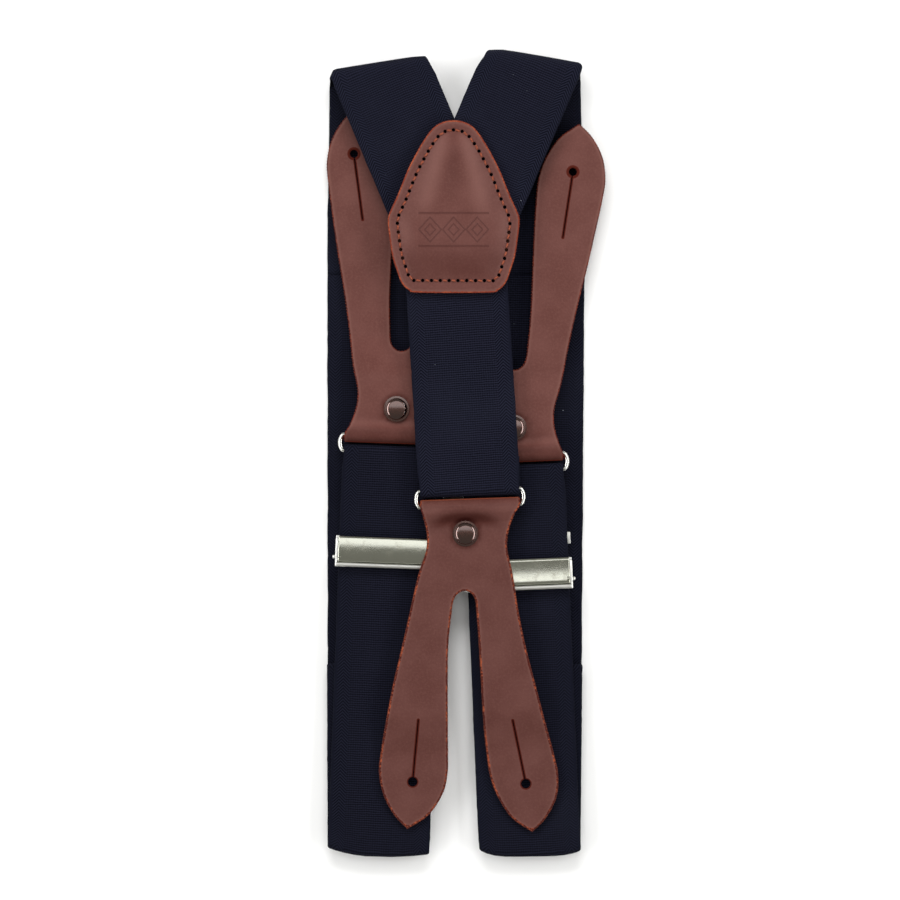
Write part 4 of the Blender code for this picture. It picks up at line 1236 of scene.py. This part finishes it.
def soft_box(bm, start, end, radius=0.12):
    """Adds a box with rounded edges."""
    start, end = Vector(start), Vector(end)
    shape = Matrix.Translation((start + end) / 2) @ Matrix.Diagonal((*(end - start), 1))
    made = bmesh.ops.create_cube(bm, size=1, matrix=shape)["verts"]
    edges = list({edge for vertex in made for edge in vertex.link_edges})
    bmesh.ops.bevel(bm, geom=edges, offset=radius, segments=3, affect="EDGES", profile=0.5)


def rod(bm, radius, half_length, place):
    """Adds a cylinder along X."""
    turn = Matrix.Translation(place) @ Matrix.Rotation(math.pi / 2, 4, "Y")
    size = {"radius1": radius, "radius2": radius, "depth": 2 * half_length}
    bmesh.ops.create_cone(bm, cap_ends=True, segments=20, matrix=turn, **size)


def on_strap(bm, side):
    """The mesh of a bmesh made round the adjuster's middle, v along +Y, turned and moved to its strap."""
    turn = Matrix.Rotation(-math.radians(FRONT_LEAN[side]), 4, "Z")
    bmesh.ops.transform(bm, matrix=Matrix.Translation(adjuster_middle(side)) @ turn, verts=bm.verts)
    return to_mesh(bm, sharp_degrees=50)


LEVER_HEEL, HEEL_R = 1.2, 1.7  # the plate's heel rolls round the pivot, clear of the webbing
LIP_RISE, LIP_DEPTH, LIP_ROUND = 0.1, 1.6, 0.45  # the bar along the frame's far edge
EAR_ROUND = 0.3
PIN_R, PIN_HALF = 0.5, 18.9
PIN_HEAD_R, PIN_HEAD_X = 0.62, 18.75


def lever_plate(bm, side, half):
    """The lever's plate: rounded over its front and back edges and slightly hollow or full between them."""
    depth = PLATE_V[1] - (PIVOT_V - LEVER_HEEL)
    steps = 24
    tilt, fullness = {"left": (0.0, 0.36), "right": (-0.035, -0.22)}[side]
    heel = [math.radians(degrees) for degrees in (176, 162, 148)]
    outline = [(PIVOT_V + HEEL_R * math.cos(a), PIVOT_Z + HEEL_R * math.sin(a)) for a in heel]
    for k in range(steps + 1):
        share = k / steps
        v = PIVOT_V - LEVER_HEEL + depth * share
        rise = fullness * (1 - (2 * share - 1) ** 2) + tilt * depth * (share - 0.5)
        lip = 0.35 * smooth(share, 0.94, 1)
        outline.append((v, LEVER_TOP - 0.25 + rise * smooth(share, 0, 0.1) - lip))
    loops = []
    for x in (-half, -half + 0.15, -half + 0.5, 0, half - 0.5, half - 0.15, half):
        drop = 0.12 if abs(x) == half else 0
        top = [bm.verts.new((x, v, z - drop)) for v, z in outline]
        under = [bm.verts.new((x, v, z - SHEET + drop)) for v, z in reversed(outline)]
        loops.append(top + under)
    skin(bm, loops)


def adjuster(side):
    body = side + "_adjuster"
    pivot = Vector((0, PIVOT_V, PIVOT_Z))
    plate_z = FRONT_RUN_Z - WEB_THICK / 2 - 0.3 - SHEET / 2

    bm = bmesh.new()
    thin = SHEET / 2
    soft_box(bm, (-FRAME_HALF, PLATE_V[0], plate_z - thin), (FRAME_HALF, PLATE_V[1], plate_z + thin))
    soft_box(bm, (-ARM_HALF, ANCHOR_V[0], ANCHOR_Z - thin), (STUB_END, ANCHOR_V[1], ANCHOR_Z + thin))
    for sign in (-1, 1):
        inner, outer = sorted((sign * EAR_INNER, sign * FRAME_HALF))
        soft_box(bm, (inner, PLATE_V[0], plate_z - thin), (outer, PLATE_V[1] - SHEET, LEVER_TOP), EAR_ROUND)
        inner, outer = sorted((sign * WINDOW_HALF, sign * ARM_HALF))
        soft_box(bm, (inner, PLATE_V[1] - 0.3, ANCHOR_Z - thin), (outer, ANCHOR_V[1], plate_z + thin))
    lip_top = LEVER_TOP + LIP_RISE
    lip_edge = PIVOT_V - HEEL_R - 0.1
    start = (-FRAME_HALF, PLATE_V[0], lip_top - LIP_DEPTH)
    soft_box(bm, start, (FRAME_HALF, lip_edge, lip_top), LIP_ROUND)
    name = side + "_adjuster_body"
    new_piece(name, on_strap(bm, side), FRAME_NICKEL, body, [side + "_adjuster_frame"])

    bm = bmesh.new()
    rod(bm, PIN_R, PIN_HALF, pivot)
    for sign in (-1, 1):
        head = Matrix.Translation(pivot + Vector((sign * PIN_HEAD_X, 0, 0)))
        bmesh.ops.create_uvsphere(bm, u_segments=16, v_segments=10, radius=PIN_HEAD_R, matrix=head)
    name = side + "_pivot_pin"
    new_piece(name, on_strap(bm, side), NICKEL, body, [side + "_adjuster_pin"])

    bm = bmesh.new()
    half = EAR_INNER - 0.2
    lever_plate(bm, side, half)
    reach = half - 0.3
    soft_box(bm, (-reach, PIVOT_V - 0.5, PIVOT_Z - 1.6), (reach, PIVOT_V + 0.5, LEVER_TOP - 0.8))
    for sign in (-1, 1):
        rod(bm, 1.2, 0.4, pivot + Vector((sign * (half - 0.5), 0, 0)))
    name, nodes = side + "_lever_plate", [side + "_adjuster_lever"]
    new_piece(name, on_strap(bm, side), LEVER_NICKEL, side + "_lever", nodes)


# ---------------------------------------------------------------- floor, light and camera

CAMERA_PLACE = Vector((-5.4, 0.25, 1708))
CAMERA_LENS, SENSOR = 200, 36.0
FLOOR_HALF, FLOOR_Z = 3000, -0.05
ROOM_COLOUR, ROOM_STRENGTH = (0.90, 0.89, 0.80, 1), 0.20


def area_light(name, place, size, power, mirrored=True):
    """A soft light at place, in metres, turned to the suspenders. The metal shows it if it is mirrored."""
    light = bpy.data.lights.new(name, "AREA")
    light.shape = "RECTANGLE"
    light.size, light.size_y = size
    light.energy = power
    lamp = place_in_scene(name, light)
    lamp.visible_glossy = mirrored
    lamp.location = place
    lamp.rotation_euler = (-Vector(place)).to_track_quat("-Z", "Y").to_euler()


def studio():
    bm = bmesh.new()
    bmesh.ops.create_grid(bm, x_segments=1, y_segments=1, size=FLOOR_HALF)
    bmesh.ops.translate(bm, vec=(0, 0, FLOOR_Z), verts=bm.verts)
    mesh = to_mesh(bm)
    mesh.materials.append(floor_look())
    place_in_scene("floor", mesh)

    area_light("key", (-0.1, 1.15, 1.0), (1.1, 0.5), 16, mirrored=False)
    area_light("left", (-1.15, 0.05, 0.95), (1.8, 0.5), 13)
    area_light("right", (1.15, 0.05, 0.95), (1.8, 0.5), 13)
    area_light("front", (0.1, -1.1, 1.0), (1.0, 0.5), 4, mirrored=False)
    area_light("overhead", (0.0, 0.50, 1.95), (1.8, 0.8), 5)
    world = bpy.data.worlds.new("studio")
    world.use_nodes = True
    background = world.node_tree.nodes["Background"]
    background.inputs["Color"].default_value = ROOM_COLOUR
    background.inputs["Strength"].default_value = ROOM_STRENGTH
    SCENE.world = world
    SCENE.view_settings.view_transform = "Standard"

    camera = place_in_scene("camera", bpy.data.cameras.new("camera"))
    camera.data.sensor_width = SENSOR
    camera.data.lens = CAMERA_LENS
    camera.data.clip_end = 20
    camera.location = CAMERA_PLACE * MM
    bpy.context.scene.camera = camera


for hand in SIDES:
    front_webbing(hand)
    return_webbing(hand)
    adjuster(hand)
back_webbing()
patch()
for ring_name in RINGS:
    ring(ring_name)
    tab(ring_name)
    rivet(ring_name)
studio()
